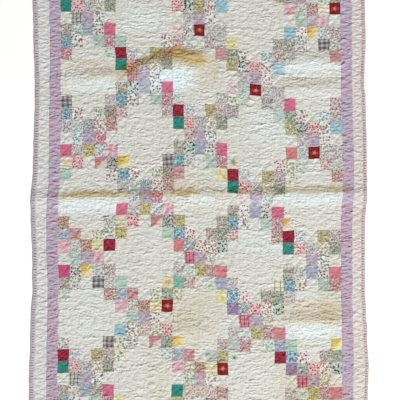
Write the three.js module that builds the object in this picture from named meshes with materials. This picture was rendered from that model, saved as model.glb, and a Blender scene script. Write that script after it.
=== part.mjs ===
// A patchwork quilt lying flat: a double Irish chain of pieced and plain blocks, a lavender border, a cream
// border and a narrow rolled binding. Millimetres, +Z up, +Y towards the head of the quilt, and the origin
// under the middle of its outline.
import * as THREE from 'three';

// Driving sizes
const PATCHES = 5; // patches along each side of a block
const BLOCK_COLUMNS = 5;
const HALF_LENGTH = 1070;
const LAVENDER_WIDTH = 50.8;
const LEFT_BINDING = 23;
const RIGHT_BINDING = 17.5;
const END_BINDING = 20;
const SEAM_GAP = 0.3; // clearance between neighbouring pieces

// The quilted sandwich, measured up from its underside
const SHEET = 4; // at a line of quilting
const PUFF = 3; // how much higher it stands between the lines
const BINDING_RIM = 2.4; // at the binding's outer edge
const BINDING_CROWN = 6.4;
const BINDING_SEAM = 5;
const LIFT_SHARE = 0.5; // how much of a fold's rise the underside follows

// Steps of the surface
const HALF_PATCHES = 2 * PATCHES;
const ZIGZAGS = 3; // border quilting lines across the border beside one patch
const END_ZIGZAGS = 14; // the same in one column of blocks, along the end borders
const CORNER_ZIGZAGS = 3; // the same where the borders cross at a corner

// Seams between the rows of blocks, from foot to head: where the six seams between the columns, from left to
// right, cross each of them
const ROW_SEAMS = [
  { aside: [-640, -384, -126, 130, 386, 644], along: [-952, -947, -949, -961, -963, -961] },
  { aside: [-636.5, -382.5, -120, 132, 392, 645], along: [-682, -677.5, -676, -691, -692, -685] },
  { aside: [-632, -376.5, -116.5, 125, 381, 640], along: [-413, -406, -405.5, -415.5, -419.5, -420.5] },
  { aside: [-637, -377.5, -113.5, 127.5, 377, 639.5], along: [-137.5, -131, -131, -138.5, -148, -144] },
  { aside: [-626.5, -365, -114, 127.5, 391, 648.5], along: [133, 132.5, 141.5, 132, 119, 125.5] },
  { aside: [-623, -372.5, -118, 126.5, 385.5, 640.5], along: [404.5, 414, 421, 419.5, 393, 398.5] },
  { aside: [-621.5, -378, -118.5, 122.5, 383.5, 638.5], along: [674.5, 679.5, 677.5, 673, 660.5, 664] },
  { aside: [-626.5, -374.5, -123.5, 128.5, 383.5, 636.5], along: [945, 947, 945, 940.5, 934, 934] },
];

// The quilt's two long edges, uneven as the cloth lies
const LONG_EDGES = [
  { along: -1070, left: -764.5, right: 758.5 },
  { along: -870, left: -765.5, right: 762.5 },
  { along: -820, left: -765.5, right: 765.5 },
  { along: -760, left: -764, right: 765.5 },
  { along: -640, left: -761.5, right: 759.5 },
  { along: -530, left: -757.5, right: 754.5 },
  { along: -420, left: -752, right: 748.5 },
  { along: -260, left: -752.5, right: 748 },
  { along: -100, left: -758.5, right: 749.5 },
  { along: -40, left: -759.5, right: 754 },
  { along: 15, left: -756, right: 757.5 },
  { along: 120, left: -749, right: 757.5 },
  { along: 230, left: -746.5, right: 756.5 },
  { along: 390, left: -742.5, right: 752.5 },
  { along: 530, left: -740, right: 745.5 },
  { along: 660, left: -744.5, right: 749.5 },
  { along: 715, left: -745.5, right: 751.5 },
  { along: 880, left: -749, right: 747.5 },
  { along: 1070, left: -751.5, right: 746.5 },
];

// Soft folds. The crest runs from `left` to `right` across the quilt, at `along` in its middle, climbing by
// `tilt` from end to end and dropping by `bow` at both ends. `above` and `below` are how far its slopes reach
// towards the head and the foot, and `fade` is the length in which an end dies away.
const FOLDS = [
  {
    name: 'main crease', left: -900, right: 900, along: 10,
    tilt: 24, bow: 0, rise: 6.5, above: 44, below: 74, fade: 60,
  },
  {
    name: 'arched bulge', left: -335, right: 62, along: 618,
    tilt: 68, bow: 24, rise: 11, above: 56, below: 135, fade: 60,
  },
  {
    name: 'left ridge', left: -660, right: -330, along: 545,
    tilt: 36, bow: 0, rise: 6, above: 44, below: 66, fade: 90,
  },
  {
    name: 'right upper ridge', left: 350, right: 680, along: 622,
    tilt: 0, bow: 0, rise: 6, above: 44, below: 70, fade: 90,
  },
  {
    name: 'right middle ridge', left: 350, right: 680, along: 492,
    tilt: -4, bow: 0, rise: 6, above: 50, below: 60, fade: 90,
  },
  {
    name: 'right lower ridge', left: 350, right: 690, along: -558,
    tilt: 0, bow: 0, rise: 6.5, above: 62, below: 64, fade: 90,
  },
  {
    name: 'middle lower ridge', left: -170, right: 110, along: -600,
    tilt: 0, bow: 12, rise: 4.5, above: 70, below: 60, fade: 80,
  },
];

const COLOURS = {
  pieced: '#b9a3a8',
  plain: '#d7d2c6',
  lavender: '#bba7c4',
  cream: '#d9d4c9',
  binding: '#b895a6',
};

const mix = (from, to, share) => from + (to - from) * share;
const soften = (share) => (1 - Math.cos(Math.PI * share)) / 2;
const clamp = (value, low, high) => Math.min(Math.max(value, low), high);

// The place of one long edge at a place along the quilt
function longEdge(side, along) {
  const at = clamp(along, -HALF_LENGTH, HALF_LENGTH);
  const next = Math.max(LONG_EDGES.findIndex((row) => row.along >= at), 1);
  const [low, high] = [LONG_EDGES[next - 1], LONG_EDGES[next]];
  return mix(low[side], high[side], soften((at - low.along) / (high.along - low.along)));
}

// A smooth curve through a list of values, read at a place between two of them
function curveThrough(values, place) {
  const low = Math.min(Math.floor(place), values.length - 2);
  const t = place - low;
  const [b, c] = [values[low], values[low + 1]];
  const a = low > 0 ? values[low - 1] : 2 * b - c;
  const d = low + 2 < values.length ? values[low + 2] : 2 * c - b;
  return b + (t / 2) * (c - a + t * (2 * a - 5 * b + 4 * c - d + t * (3 * (b - c) + d - a)));
}

// Seam lines across the quilt, counted from its left edge, and stations along it, counted from its foot: one
// station at each seam line of the ends' strips and one at each row of patches between them
const OUTER = 0;
const BINDING_SEAM_LINE = 1;
const CREAM_SEAM_LINE = 2;
const CENTRE_LINE = 3;
const PATCH_ROWS = PATCHES * (ROW_SEAMS.length - 1);
const HEAD_OUTER = 2 * CENTRE_LINE + PATCH_ROWS;
const RIGHT_OUTER = 2 * CENTRE_LINE + BLOCK_COLUMNS;

// Where one of the lines of `count` lines lies, given the centre panel's `inner` place and both outer edges
function stripLine(line, count, inner, [low, high], [lowBinding, highBinding]) {
  const fromFar = count - line;
  if (line < CENTRE_LINE) {
    return [low, low + lowBinding, inner - LAVENDER_WIDTH][line];
  }
  return fromFar < CENTRE_LINE ? [high, high - highBinding, inner + LAVENDER_WIDTH][fromFar] : inner;
}

// The point where a seam line crosses a station
function seamPoint(seam, station) {
  const column = clamp(seam - CENTRE_LINE, 0, BLOCK_COLUMNS);
  const row = clamp(station - CENTRE_LINE, 0, PATCH_ROWS) / PATCHES;
  const inside = (axis) => curveThrough(ROW_SEAMS.map((rowSeam) => rowSeam[axis][column]), row);
  const ends = [-HALF_LENGTH, HALF_LENGTH];
  const y = stripLine(station, HEAD_OUTER, inside('along'), ends, [END_BINDING, END_BINDING]);
  const edges = [longEdge('left', y), longEdge('right', y)];
  const x = stripLine(seam, RIGHT_OUTER, inside('aside'), edges, [LEFT_BINDING, RIGHT_BINDING]);
  return { x, y };
}

const GRID = Array.from({ length: HEAD_OUTER + 1 }, (_, station) =>
  Array.from({ length: RIGHT_OUTER + 1 }, (__, seam) => seamPoint(seam, station)),
);

// The point of the quilt at a seam place across it and a station place along it
function pointAt(across, along) {
  const station = Math.min(Math.floor(along), HEAD_OUTER - 1);
  const seam = Math.min(Math.floor(across), RIGHT_OUTER - 1);
  const read = (axis) => {
    const [low, high] = [GRID[station], GRID[station + 1]].map((line) =>
      mix(line[seam][axis], line[seam + 1][axis], across - seam),
    );
    return mix(low, high, along - station);
  };
  return { x: read('x'), y: read('y') };
}

const bump = (share) => (share < 1 ? Math.cos((share * Math.PI) / 2) ** 2 : 0);

// How much the folds lift the cloth at a point
function foldRise(x, y) {
  let rise = 0;
  for (const fold of FOLDS) {
    const half = (fold.right - fold.left) / 2;
    const aside = (x - (fold.left + fold.right) / 2) / half;
    const inside = (half * (1 - Math.abs(aside))) / fold.fade;
    if (inside > 0) {
      const crest = fold.along + (fold.tilt * aside) / 2 - fold.bow * aside * aside;
      const slope = y > crest ? fold.above : fold.below;
      rise += fold.rise * bump(Math.abs(y - crest) / slope) * soften(Math.min(inside, 1));
    }
  }
  return rise;
}

// Steps from one seam or station to another. The underside has a node only where `base` is true.
function steps(from, to, count, baseCount) {
  const every = count / baseCount;
  return Array.from({ length: count + 1 }, (_, index) => ({
    at: mix(from, to, index / count),
    base: index % every === 0,
  }));
}

// The same for a strip that crosses several columns or stations, each with a count of its own
function stripSteps(from, to, countIn, baseIn) {
  const all = [{ at: from, base: true }];
  for (let place = from; place < to; place += 1) {
    all.push(...steps(place, place + 1, countIn(place), baseIn(place)).slice(1));
  }
  return all;
}

// One closed piece of the quilt: its top has a node at each step, its underside only at the base steps.
// `heightOver` gives how high the top stands over the underside of the sandwich.
function quiltedPiece(name, colour, across, along, heightOver) {
  const positions = [];
  const faces = [];
  const wide = across.length;
  const inset = (index, count) => (SEAM_GAP / 2) * (Number(index === 0) - Number(index === count - 1));
  const addNode = (i, j, heightAt) => {
    const point = pointAt(across[i].at, along[j].at);
    const x = point.x + inset(i, wide);
    const y = point.y + inset(j, along.length);
    positions.push(x, y, heightAt(foldRise(point.x, point.y)));
    return positions.length / 3 - 1;
  };
  const top = along.map((_, j) => across.map((__, i) => addNode(i, j, (fold) => fold + heightOver(i, j))));
  const baseAcross = across.map((_, i) => i).filter((i) => across[i].base);
  const baseAlong = along.map((_, j) => j).filter((j) => along[j].base);
  const base = new Map();
  for (const j of baseAlong) {
    for (const i of baseAcross) {
      base.set(`${i},${j}`, addNode(i, j, (fold) => fold * LIFT_SHARE));
    }
  }
  const under = (i, j) => base.get(`${i},${j}`);

  for (let j = 0; j + 1 < along.length; j += 1) {
    for (let i = 0; i + 1 < wide; i += 1) {
      const [a, b, c, d] = [top[j][i], top[j][i + 1], top[j + 1][i + 1], top[j + 1][i]];
      // The fold of each square lies along its line of quilting
      faces.push(...((i + j) % 2 === 0 ? [a, b, c, a, c, d] : [a, b, d, b, c, d]));
    }
  }
  for (let q = 0; q + 1 < baseAlong.length; q += 1) {
    for (let p = 0; p + 1 < baseAcross.length; p += 1) {
      const [i, next] = [baseAcross[p], baseAcross[p + 1]];
      const [j, above] = [baseAlong[q], baseAlong[q + 1]];
      const [a, b, c, d] = [under(i, j), under(next, j), under(next, above), under(i, above)];
      faces.push(a, c, b, a, d, c);
    }
  }

  // A side wall, walked with the piece on its left: the fine top edge fans down to the coarse lower one
  const wall = (indices, topOf, baseOf) => {
    for (let step = 0; step + 1 < indices.length; step += 1) {
      const [from, to] = [indices[step], indices[step + 1]];
      const way = Math.sign(to - from);
      const middle = from + way * Math.floor(Math.abs(to - from) / 2);
      for (let at = from; at !== to; at += way) {
        const beforeMiddle = Math.abs(at - from) < Math.abs(middle - from);
        faces.push(baseOf(beforeMiddle ? from : to), topOf(at + way), topOf(at));
      }
      faces.push(baseOf(from), baseOf(to), topOf(middle));
    }
  };
  const [lastI, lastJ] = [wide - 1, along.length - 1];
  wall(baseAcross, (i) => top[0][i], (i) => under(i, 0));
  wall(baseAlong, (j) => top[j][lastI], (j) => under(lastI, j));
  wall([...baseAcross].reverse(), (i) => top[lastJ][i], (i) => under(i, lastJ));
  wall([...baseAlong].reverse(), (j) => top[j][0], (j) => under(0, j));

  const geometry = new THREE.BufferGeometry();
  geometry.setAttribute('position', new THREE.Float32BufferAttribute(positions, 3));
  geometry.setIndex(faces);
  geometry.computeVertexNormals();
  const mesh = new THREE.Mesh(
    geometry,
    new THREE.MeshStandardMaterial({ color: colour, roughness: 0.9, metalness: 0 }),
  );
  mesh.name = name;
  return mesh;
}

// Crossed diagonal quilting: every other node lies on a stitched line
const crossQuilting = (i, j) => SHEET + PUFF * ((i + j) % 2);

// Ringed quilting round the middle of a plain block, with the crossed lines kept at its rim
function ringQuilting(i, j) {
  const rim = i === 0 || j === 0 || i === HALF_PATCHES || j === HALF_PATCHES;
  const fromMiddle = Math.hypot(i - PATCHES, j - PATCHES) / 2;
  return rim ? crossQuilting(i, j) : SHEET + PUFF * Math.abs(Math.sin(Math.PI * fromMiddle));
}

function makeBlock(row, column) {
  const fromFoot = ROW_SEAMS.length - 2 - row;
  const firstStation = CENTRE_LINE + PATCHES * fromFoot;
  const firstSeam = CENTRE_LINE + column;
  const ridged = steps(firstStation, firstStation + PATCHES, PATCHES, PATCHES).some((along) =>
    steps(firstSeam, firstSeam + 1, PATCHES, PATCHES).some((across) => {
      const point = pointAt(across.at, along.at);
      return foldRise(point.x, point.y) > 0;
    }),
  );
  const across = steps(firstSeam, firstSeam + 1, HALF_PATCHES, ridged ? PATCHES : 1);
  const along = steps(firstStation, firstStation + PATCHES, HALF_PATCHES, PATCHES);
  const pieced = (row + column) % 2 === 0;
  return quiltedPiece(
    `${pieced ? 'pieced' : 'plain'}_block_r${row + 1}_c${column + 1}`,
    pieced ? COLOURS.pieced : COLOURS.plain,
    across,
    along,
    pieced ? crossQuilting : ringQuilting,
  );
}

const one = () => 1;
const withinCentre = (place, outer) => place >= CENTRE_LINE && place < outer - CENTRE_LINE;
const inStation = (place) => (withinCentre(place, HEAD_OUTER) ? ZIGZAGS : CORNER_ZIGZAGS);
const inSeam = (place) => (withinCentre(place, RIGHT_OUTER) ? END_ZIGZAGS : CORNER_ZIGZAGS);
const halves = (place) => (withinCentre(place, RIGHT_OUTER) ? 2 : 1);

// A long side strip between two seams, and an end strip between two stations
function sideStrip(name, colour, seam, fromStation, toStation) {
  const across = stripSteps(seam, seam + 1, one, one);
  const along = stripSteps(fromStation, toStation, inStation, one);
  return quiltedPiece(name, colour, across, along, crossQuilting);
}

function endStrip(name, colour, station, fromSeam, toSeam) {
  const across = stripSteps(fromSeam, toSeam, inSeam, halves);
  const along = stripSteps(station, station + 1, one, one);
  return quiltedPiece(name, colour, across, along, crossQuilting);
}

// The binding's height at its outer edge, over its rolled middle and where it is sewn down
const BINDING_HEIGHTS = [BINDING_RIM, BINDING_CROWN, BINDING_SEAM];
const BINDING_STEPS = BINDING_HEIGHTS.length - 1;

function sideBinding(name, seam, outerFirst) {
  const across = steps(seam, seam + 1, BINDING_STEPS, 1);
  const along = stripSteps(OUTER, HEAD_OUTER, one, one);
  const height = (i) => BINDING_HEIGHTS[outerFirst ? i : BINDING_STEPS - i];
  return quiltedPiece(name, COLOURS.binding, across, along, height);
}

function endBinding(name, station, outerFirst) {
  const across = stripSteps(BINDING_SEAM_LINE, RIGHT_OUTER - BINDING_SEAM_LINE, halves, halves);
  const along = steps(station, station + 1, BINDING_STEPS, 1);
  const height = (i, j) => BINDING_HEIGHTS[outerFirst ? j : BINDING_STEPS - j];
  return quiltedPiece(name, COLOURS.binding, across, along, height);
}

const group = new THREE.Group();
for (let row = 0; row + 1 < ROW_SEAMS.length; row += 1) {
  for (let column = 0; column < BLOCK_COLUMNS; column += 1) {
    group.add(makeBlock(row, column));
  }
}

const { lavender, cream } = COLOURS;
const centreHead = HEAD_OUTER - CENTRE_LINE;
const creamHead = HEAD_OUTER - CREAM_SEAM_LINE;
const creamRight = RIGHT_OUTER - CREAM_SEAM_LINE;
const bindingRight = RIGHT_OUTER - BINDING_SEAM_LINE;
group.add(
  sideStrip('lavender_border_left', lavender, CREAM_SEAM_LINE, CENTRE_LINE, centreHead),
  sideStrip('lavender_border_right', lavender, creamRight - 1, CENTRE_LINE, centreHead),
  endStrip('lavender_border_head', lavender, centreHead, CREAM_SEAM_LINE, creamRight),
  endStrip('lavender_border_foot', lavender, CREAM_SEAM_LINE, CREAM_SEAM_LINE, creamRight),
  sideStrip('cream_border_left', cream, BINDING_SEAM_LINE, CREAM_SEAM_LINE, creamHead),
  sideStrip('cream_border_right', cream, creamRight, CREAM_SEAM_LINE, creamHead),
  endStrip('cream_border_head', cream, creamHead, BINDING_SEAM_LINE, bindingRight),
  endStrip('cream_border_foot', cream, BINDING_SEAM_LINE, BINDING_SEAM_LINE, bindingRight),
  sideBinding('binding_left', OUTER, true),
  sideBinding('binding_right', bindingRight, false),
  endBinding('binding_head', HEAD_OUTER - BINDING_SEAM_LINE, false),
  endBinding('binding_foot', OUTER, true),
);

export default group;
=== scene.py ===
"""A washed patchwork quilt laid out flat on a pale floor.

The quilt is a double Irish chain: pieced blocks of small squares alternate with plain cream blocks, inside
a lavender strip, a cream border and a rolled binding. Every piece is a quilted sheet on the folds of its
solid. Lengths are in millimetres until a mesh is made.
"""

from __future__ import annotations

import logging
import math
from collections.abc import Callable, Mapping, Sequence
from dataclasses import dataclass, field
from enum import Enum
from typing import ClassVar

import bpy
import numpy as np
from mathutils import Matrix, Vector

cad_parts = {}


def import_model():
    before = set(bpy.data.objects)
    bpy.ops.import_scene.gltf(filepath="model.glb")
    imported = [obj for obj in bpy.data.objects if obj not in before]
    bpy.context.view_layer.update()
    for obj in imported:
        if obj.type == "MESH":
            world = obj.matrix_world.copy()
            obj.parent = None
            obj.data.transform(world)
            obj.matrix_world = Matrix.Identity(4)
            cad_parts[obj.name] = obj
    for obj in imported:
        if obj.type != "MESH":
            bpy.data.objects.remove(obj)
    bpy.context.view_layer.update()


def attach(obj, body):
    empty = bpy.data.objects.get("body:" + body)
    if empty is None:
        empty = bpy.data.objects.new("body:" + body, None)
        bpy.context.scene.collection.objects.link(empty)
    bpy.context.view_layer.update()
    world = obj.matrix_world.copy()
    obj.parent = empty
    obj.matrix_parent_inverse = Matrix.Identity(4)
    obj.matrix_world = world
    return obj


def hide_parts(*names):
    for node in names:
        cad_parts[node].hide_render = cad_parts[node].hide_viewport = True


LOG = logging.getLogger("quilt")
Array = np.ndarray
Colour = tuple[float, float, float, float]
Socket = bpy.types.NodeSocket
Value = float | Socket
Place = Array | float

TO_METRES = 0.001

# Counts that the patchwork fixes
PATCHES = 5  # squares along each side of a block
COLUMNS = 5
ROWS = 7
# Seam lines counted from the left edge, and from the foot
OUTER = 0
BINDING_SEAM = 1
CREAM_SEAM = 2
CENTRE_SEAM = 3
RIGHT_OUTER = COLUMNS + 2 * CENTRE_SEAM
HEAD_OUTER = ROWS + 2 * CENTRE_SEAM
# A field of stitched lines has one wherever it is a whole number, so this is as far from a line as can be
UNSTITCHED = 0.5


# --------------------------------------------------------------------------------------------------------
# Fabrics
# --------------------------------------------------------------------------------------------------------


def linear_colour(code: str) -> Colour:
    """Turn a screen colour such as "#d8d2c8" into a linear one with alpha.

    Args:
        code: The sRGB colour, as a hash and six hexadecimal digits.

    Returns:
        Red, green, blue and an alpha of 1.
    """
    parts = [int(code[i : i + 2], 16) / 255 for i in (1, 3, 5)]
    red, green, blue = (c / 12.92 if c <= 0.04045 else ((c + 0.055) / 1.055) ** 2.4 for c in parts)
    return red, green, blue, 1.0


class Print(Enum):
    """How a cotton is printed or woven."""

    PLAIN = "plain"
    DRIFT = "drift"
    SPECKLE = "speckle"
    DOT = "dot"
    SPRIG = "sprig"
    BLOT = "blot"
    HALF = "half"
    BLOOM = "bloom"
    CHECK = "check"
    PANE = "pane"
    STRIPE = "stripe"
    TICK = "tick"


@dataclass(frozen=True)
class Cotton:
    """One cotton: its three colours, its print, how often that repeats across a square, and its turn."""

    ground: str
    ink: str = "#d8d2c8"
    accent: str = "#d8d2c8"
    pattern: Print = Print.PLAIN
    repeats: float = 4.0
    turn: float = 0.0

    COLOURS: ClassVar[tuple[str, ...]] = ("ground", "ink", "accent")
    NUMBERS: ClassVar[tuple[str, ...]] = ("repeats", "turn")
    # Solid dyes and large prints hold their colour in the wash, and small prints keep a share of it
    HOLDING: ClassVar[tuple[Print, ...]] = (Print.PLAIN, Print.DRIFT, Print.BLOOM, Print.HALF)
    KEPT: ClassVar[float] = 0.65
    # How much red, green and blue count towards the grey that a print fades to
    GREY: ClassVar[tuple[float, ...]] = (0.3, 0.6, 0.1)

    def washed(self, name: str) -> Colour:
        """Give one of the colours as washing has left it.

        Args:
            name: ground, ink or accent.

        Returns:
            The linear colour, nearer to grey where the print has faded.
        """
        *parts, alpha = linear_colour(getattr(self, name))
        kept = 1.0 if self.pattern in self.HOLDING else self.KEPT
        grey = sum(share * part for share, part in zip(self.GREY, parts, strict=True))
        red, green, blue = (grey + (part - grey) * kept for part in parts)
        return red, green, blue, alpha


class Scrap(Enum):
    """The cottons in the scrap bag."""

    cream = Cotton("#cfd0ca")
    crimson = Cotton("#8a0830")
    emerald = Cotton("#1a7e70")
    hot_pink = Cotton("#c46686")
    magenta = Cotton("#ba4a78")
    rose = Cotton("#c8868a", "#d09a9c", "#bc7078", Print.BLOT, 3.6)
    coral = Cotton("#c27a80")
    pink = Cotton("#d69aac", "#dcb0bc", "#cc8aa0", Print.STRIPE, 2.0, 0.2)
    lavender = Cotton("#af9eb2", "#bcb0bc", "#a48cac", Print.BLOT, 3.0)
    border_lavender = Cotton("#b4a3b6", "#b8a1b2", "#b0a3b8", Print.DRIFT, 1.0)
    mauve = Cotton("#bb9eab", "#c8b0bc", "#ac8c9c", Print.BLOT, 3.0)
    purple = Cotton("#9478a6", "#a488b2", "#866c9c", Print.BLOT, 3.0)
    periwinkle = Cotton("#90a1b8", "#a0a2b4", "#aab4c4", Print.BLOT, 3.6)
    mint = Cotton("#a0c0b2", "#b2cac0", "#92b4a6", Print.BLOT, 3.2)
    mint_green = Cotton("#a8c2b2")
    pale_mint = Cotton("#c3cec4", "#96b2a2", "#d4d6d0", Print.SPRIG, 3.4)
    teal = Cotton("#aeb8b0")
    sky = Cotton("#92b8c4")
    pale_yellow = Cotton("#d8ce92", "#c8bc7c", "#e0dab4", Print.STRIPE, 3.0, 1.57)
    lemon = Cotton("#d6ce78", "#dcd8a8", "#c4b448", Print.BLOT, 2.2)
    gold = Cotton("#d4c476", "#d8d0a8", "#cca85e", Print.HALF, 1.0)
    slate_speck = Cotton("#d4d9da", "#8c98a4", "#acaeb0", Print.SPECKLE, 7.0)
    olive_speck = Cotton("#b0a462", "#8a8040", "#d0c892", Print.BLOT, 5.0)
    olive_print = Cotton("#c0b058", "#88883c", "#d8cc8c", Print.SPRIG, 4.0)
    mauve_print = Cotton("#c2b0ae", "#8e6e70", "#d4cac8", Print.SPECKLE, 6.0)
    brown_rose = Cotton("#c29892", "#8e5648", "#dfb9a6", Print.SPECKLE, 6.0)
    brown_red = Cotton("#c49a88", "#a04c40", "#b6a282", Print.SPRIG, 5.0)
    taupe_print = Cotton("#b2a89a", "#7a6e64", "#c8beb2", Print.SPECKLE, 6.0)
    taupe_brown = Cotton("#aa978a", "#6e5648", "#b8a89a", Print.SPECKLE, 6.0)
    coral_dot = Cotton("#e0adac", "#c23a50", "#8c2a3c", Print.DOT, 4.0)
    red_dot = Cotton("#d9cbc8", "#b84e5c", "#7c3844", Print.DOT, 3.6)
    rose_dot = Cotton("#c8b0ac", "#b45a68", "#7c6468", Print.DOT, 3.2)
    black_dot = Cotton("#c8c3bd", "#444248", "#7a6468", Print.DOT, 3.4)
    brown_dot = Cotton("#d9d4d4", "#8a6e68", "#a08674", Print.DOT, 3.4)
    lilac_speck = Cotton("#c0bcbc", "#7c7884", "#ccc8c4", Print.SPECKLE, 6.0)
    brown_speck = Cotton("#dbd4c6", "#aa9a7c", "#94a080", Print.SPECKLE, 5.0)
    sage_print = Cotton("#98a08c", "#667060", "#b4b8a4", Print.SPECKLE, 6.0)
    sage_leaf = Cotton("#ccd2c2", "#7c9478", "#b09a90", Print.SPRIG, 3.6)
    green_grey = Cotton("#96a888", "#607860", "#c6b4b0", Print.SPECKLE, 5.0)
    green_check = Cotton("#babab2", "#3e5a48", "#587460", Print.PANE, 3.0)
    rose_check = Cotton("#ceb4b0", "#b8686e", "#c08486", Print.CHECK, 4.0)
    pink_plaid = Cotton("#d45c7c", "#98244a", "#dc94a6", Print.PANE, 3.0)
    dark_plaid = Cotton("#b0a8a8", "#5a545c", "#88827f", Print.CHECK, 2.4)
    yellow_plaid = Cotton("#dedac4", "#a09868", "#b4ac7c", Print.PANE, 2.0)
    black_sprig = Cotton("#dadbd6", "#6c7070", "#84988a", Print.BLOT, 4.0)
    mint_black = Cotton("#bac8be", "#343c3a", "#70b096", Print.BLOT, 3.6)
    grey_black = Cotton("#b0b8ae", "#3c3c42", "#8c8c90", Print.BLOT, 4.6)
    brown_sprig = Cotton("#dad6d0", "#8a706a", "#94866e", Print.SPRIG, 3.0)
    red_sprig = Cotton("#dcd8d2", "#ae6468", "#7c6a58", Print.SPRIG, 3.4)
    leaf_sprig = Cotton("#d5d4c8", "#8c9c60", "#c0b47a", Print.SPRIG, 3.0)
    grey_sprig = Cotton("#cccec6", "#8a8e90", "#a4ae9c", Print.SPRIG, 3.6)
    rose_sprig = Cotton("#d2bab8", "#b86c78", "#9aa48c", Print.SPRIG, 3.6)
    grey_print = Cotton("#b2aaa7", "#767276", "#c8c0bc", Print.SPECKLE, 7.0)
    grey_mauve = Cotton("#c2aaaa", "#8a7478", "#d8d0d4", Print.SPECKLE, 6.0)
    light_mauve = Cotton("#c0b8ba", "#988c92", "#d2ccc8", Print.SPECKLE, 5.0)
    light_grey = Cotton("#c2bfb8", "#949290", "#d4d2cc", Print.SPECKLE, 6.0)
    blue_speck = Cotton("#c0c6c4", "#7c8ca0", "#dde4e6", Print.SPECKLE, 6.0)
    blue_grey = Cotton("#a0a6ae", "#646e7c", "#c8ccd6", Print.SPECKLE, 6.0)
    blue_leaf = Cotton("#c9d6d8", "#6e9cae", "#9ab89c", Print.SPRIG, 3.6)
    mint_grey = Cotton("#c4cfca", "#889a98", "#a8c4b6", Print.SPECKLE, 5.0)
    grey_teal = Cotton("#a4aaac", "#5f8488", "#c6cece", Print.SPECKLE, 5.0)
    blue_floral = Cotton("#7cb0c6", "#4a7c9c", "#d2e2e6", Print.SPRIG, 3.4)
    teal_floral = Cotton("#6eaab6", "#44869a", "#c6dadc", Print.SPRIG, 3.6)
    blue_stripe = Cotton("#a2acbb", "#8094ac", "#ccc4d0", Print.SPECKLE, 4.6)
    rose_mauve = Cotton("#c28e98", "#9c5468", "#e4bcc4", Print.SPECKLE, 6.0)
    rose_red = Cotton("#c48a98", "#b04058", "#ecc0c0", Print.BLOT, 5.0)
    rose_stripe = Cotton("#d8c2c0", "#e0d0cc", "#c09498", Print.BLOT, 3.4)
    pink_stripe = Cotton("#dc9cac", "#e0b4bc", "#d08098", Print.STRIPE, 2.2, 1.4)
    coral_stripe = Cotton("#b47280", "#cdc2b8", "#b88088", Print.HALF, 1.0)
    tan_stripe = Cotton("#d6ccb8", "#c8b888", "#e0dac4", Print.STRIPE, 2.6, 1.57)
    rose_print = Cotton("#c4989a", "#a0606a", "#d0b4b0", Print.SPECKLE, 5.0)
    red_bloom = Cotton("#7e1a22", "#c8906c", "#ac5c54", Print.BLOOM, 1.0)
    yellow_bloom = Cotton("#cfc9ac", "#cfbc70", "#b8a272", Print.BLOOM, 1.0)
    grey_bloom = Cotton("#cac8c0", "#77808c", "#9a9c6c", Print.BLOOM, 1.0)
    mint_bloom = Cotton("#cad3cb", "#6c7c7a", "#8fa89a", Print.BLOOM, 1.0)
    buttercup = Cotton("#d0c26c", "#dcd49e", "#caae58", Print.HALF, 1.0)
    jade = Cotton("#7cac9e")
    charcoal_print = Cotton("#b0b0aa", "#34343a", "#84807c", Print.BLOT, 5.0)
    black_leaf = Cotton("#cdcdca", "#2c2c32", "#7c7c80", Print.BLOT, 4.4)
    faded_rose = Cotton("#cfc2b6", "#a8847c", "#b8a994", Print.SPRIG, 5.0)
    gold_corner = Cotton("#cfcdc2", "#cfcdc2", "#c9a54c", Print.HALF, 1.0)
    cream_cool = Cotton("#cfd1d0")
    cream_rosy = Cotton("#d1cac7")
    binding_lilac = Cotton("#bdb2bd", "#6c5c74", "#b5adb8", Print.TICK, 1.0)
    binding_rose = Cotton("#d0bcbc", "#735a5c", "#c6a8a8", Print.TICK, 1.0)


# The five scrappy blocks, each square named as it lies, from its head end
PIECED_BLOCKS: dict[str, str] = {
    "A": """
        crimson      slate_speck  cream        olive_speck  mauve_print
        emerald      coral_dot    lilac_speck  brown_speck  sage_print
        cream        green_check  lavender     black_sprig  cream
        taupe_print  mint_black   periwinkle   black_dot    hot_pink
        teal_floral  brown_sprig  cream        mint         rose_mauve
    """,
    "B": """
        green_grey   brown_sprig  cream        blue_leaf    mauve_print
        olive_speck  grey_black   coral_dot    brown_sprig  sky
        cream        light_mauve  lavender     brown_dot    cream
        rose_stripe  mint_grey    red_bloom    light_grey   light_mauve
        leaf_sprig   pale_mint    cream        grey_print   light_grey
    """,
    "C": """
        teal_floral  red_sprig    cream        sage_leaf    taupe_brown
        lilac_speck  mint_grey    blue_grey    red_sprig    brown_rose
        cream        blue_leaf    lavender     rose_red     cream
        hot_pink     light_mauve  olive_print  blue_speck   pink
        tan_stripe   coral_dot    cream        coral_stripe grey_print
    """,
    "D": """
        blue_stripe  rose         cream        leaf_sprig   green_grey
        pink_stripe  light_grey   brown_red    pale_yellow  red_bloom
        cream        mint         lavender     pink         cream
        sky          black_dot    gold         blue_speck   grey_mauve
        olive_speck  grey_sprig   cream        dark_plaid   light_grey
    """,
    "E": """
        blue_floral  red_dot      cream        taupe_print  green_grey
        purple       grey_teal    coral_dot    red_sprig    mint_black
        cream        pink_plaid   lavender     brown_speck  cream
        light_mauve  pale_mint    olive_print  rose_print   coral
        teal         rose_sprig   cream        pale_mint    periwinkle
    """,
}

# Which block lies where, from the head; a dot is a plain block
BLOCK_PLAN = ("A.B.D", ".A.B.", "C.A.B", ".C.A.", "D.E.A", ".D.E.", "A.D.E")

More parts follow.
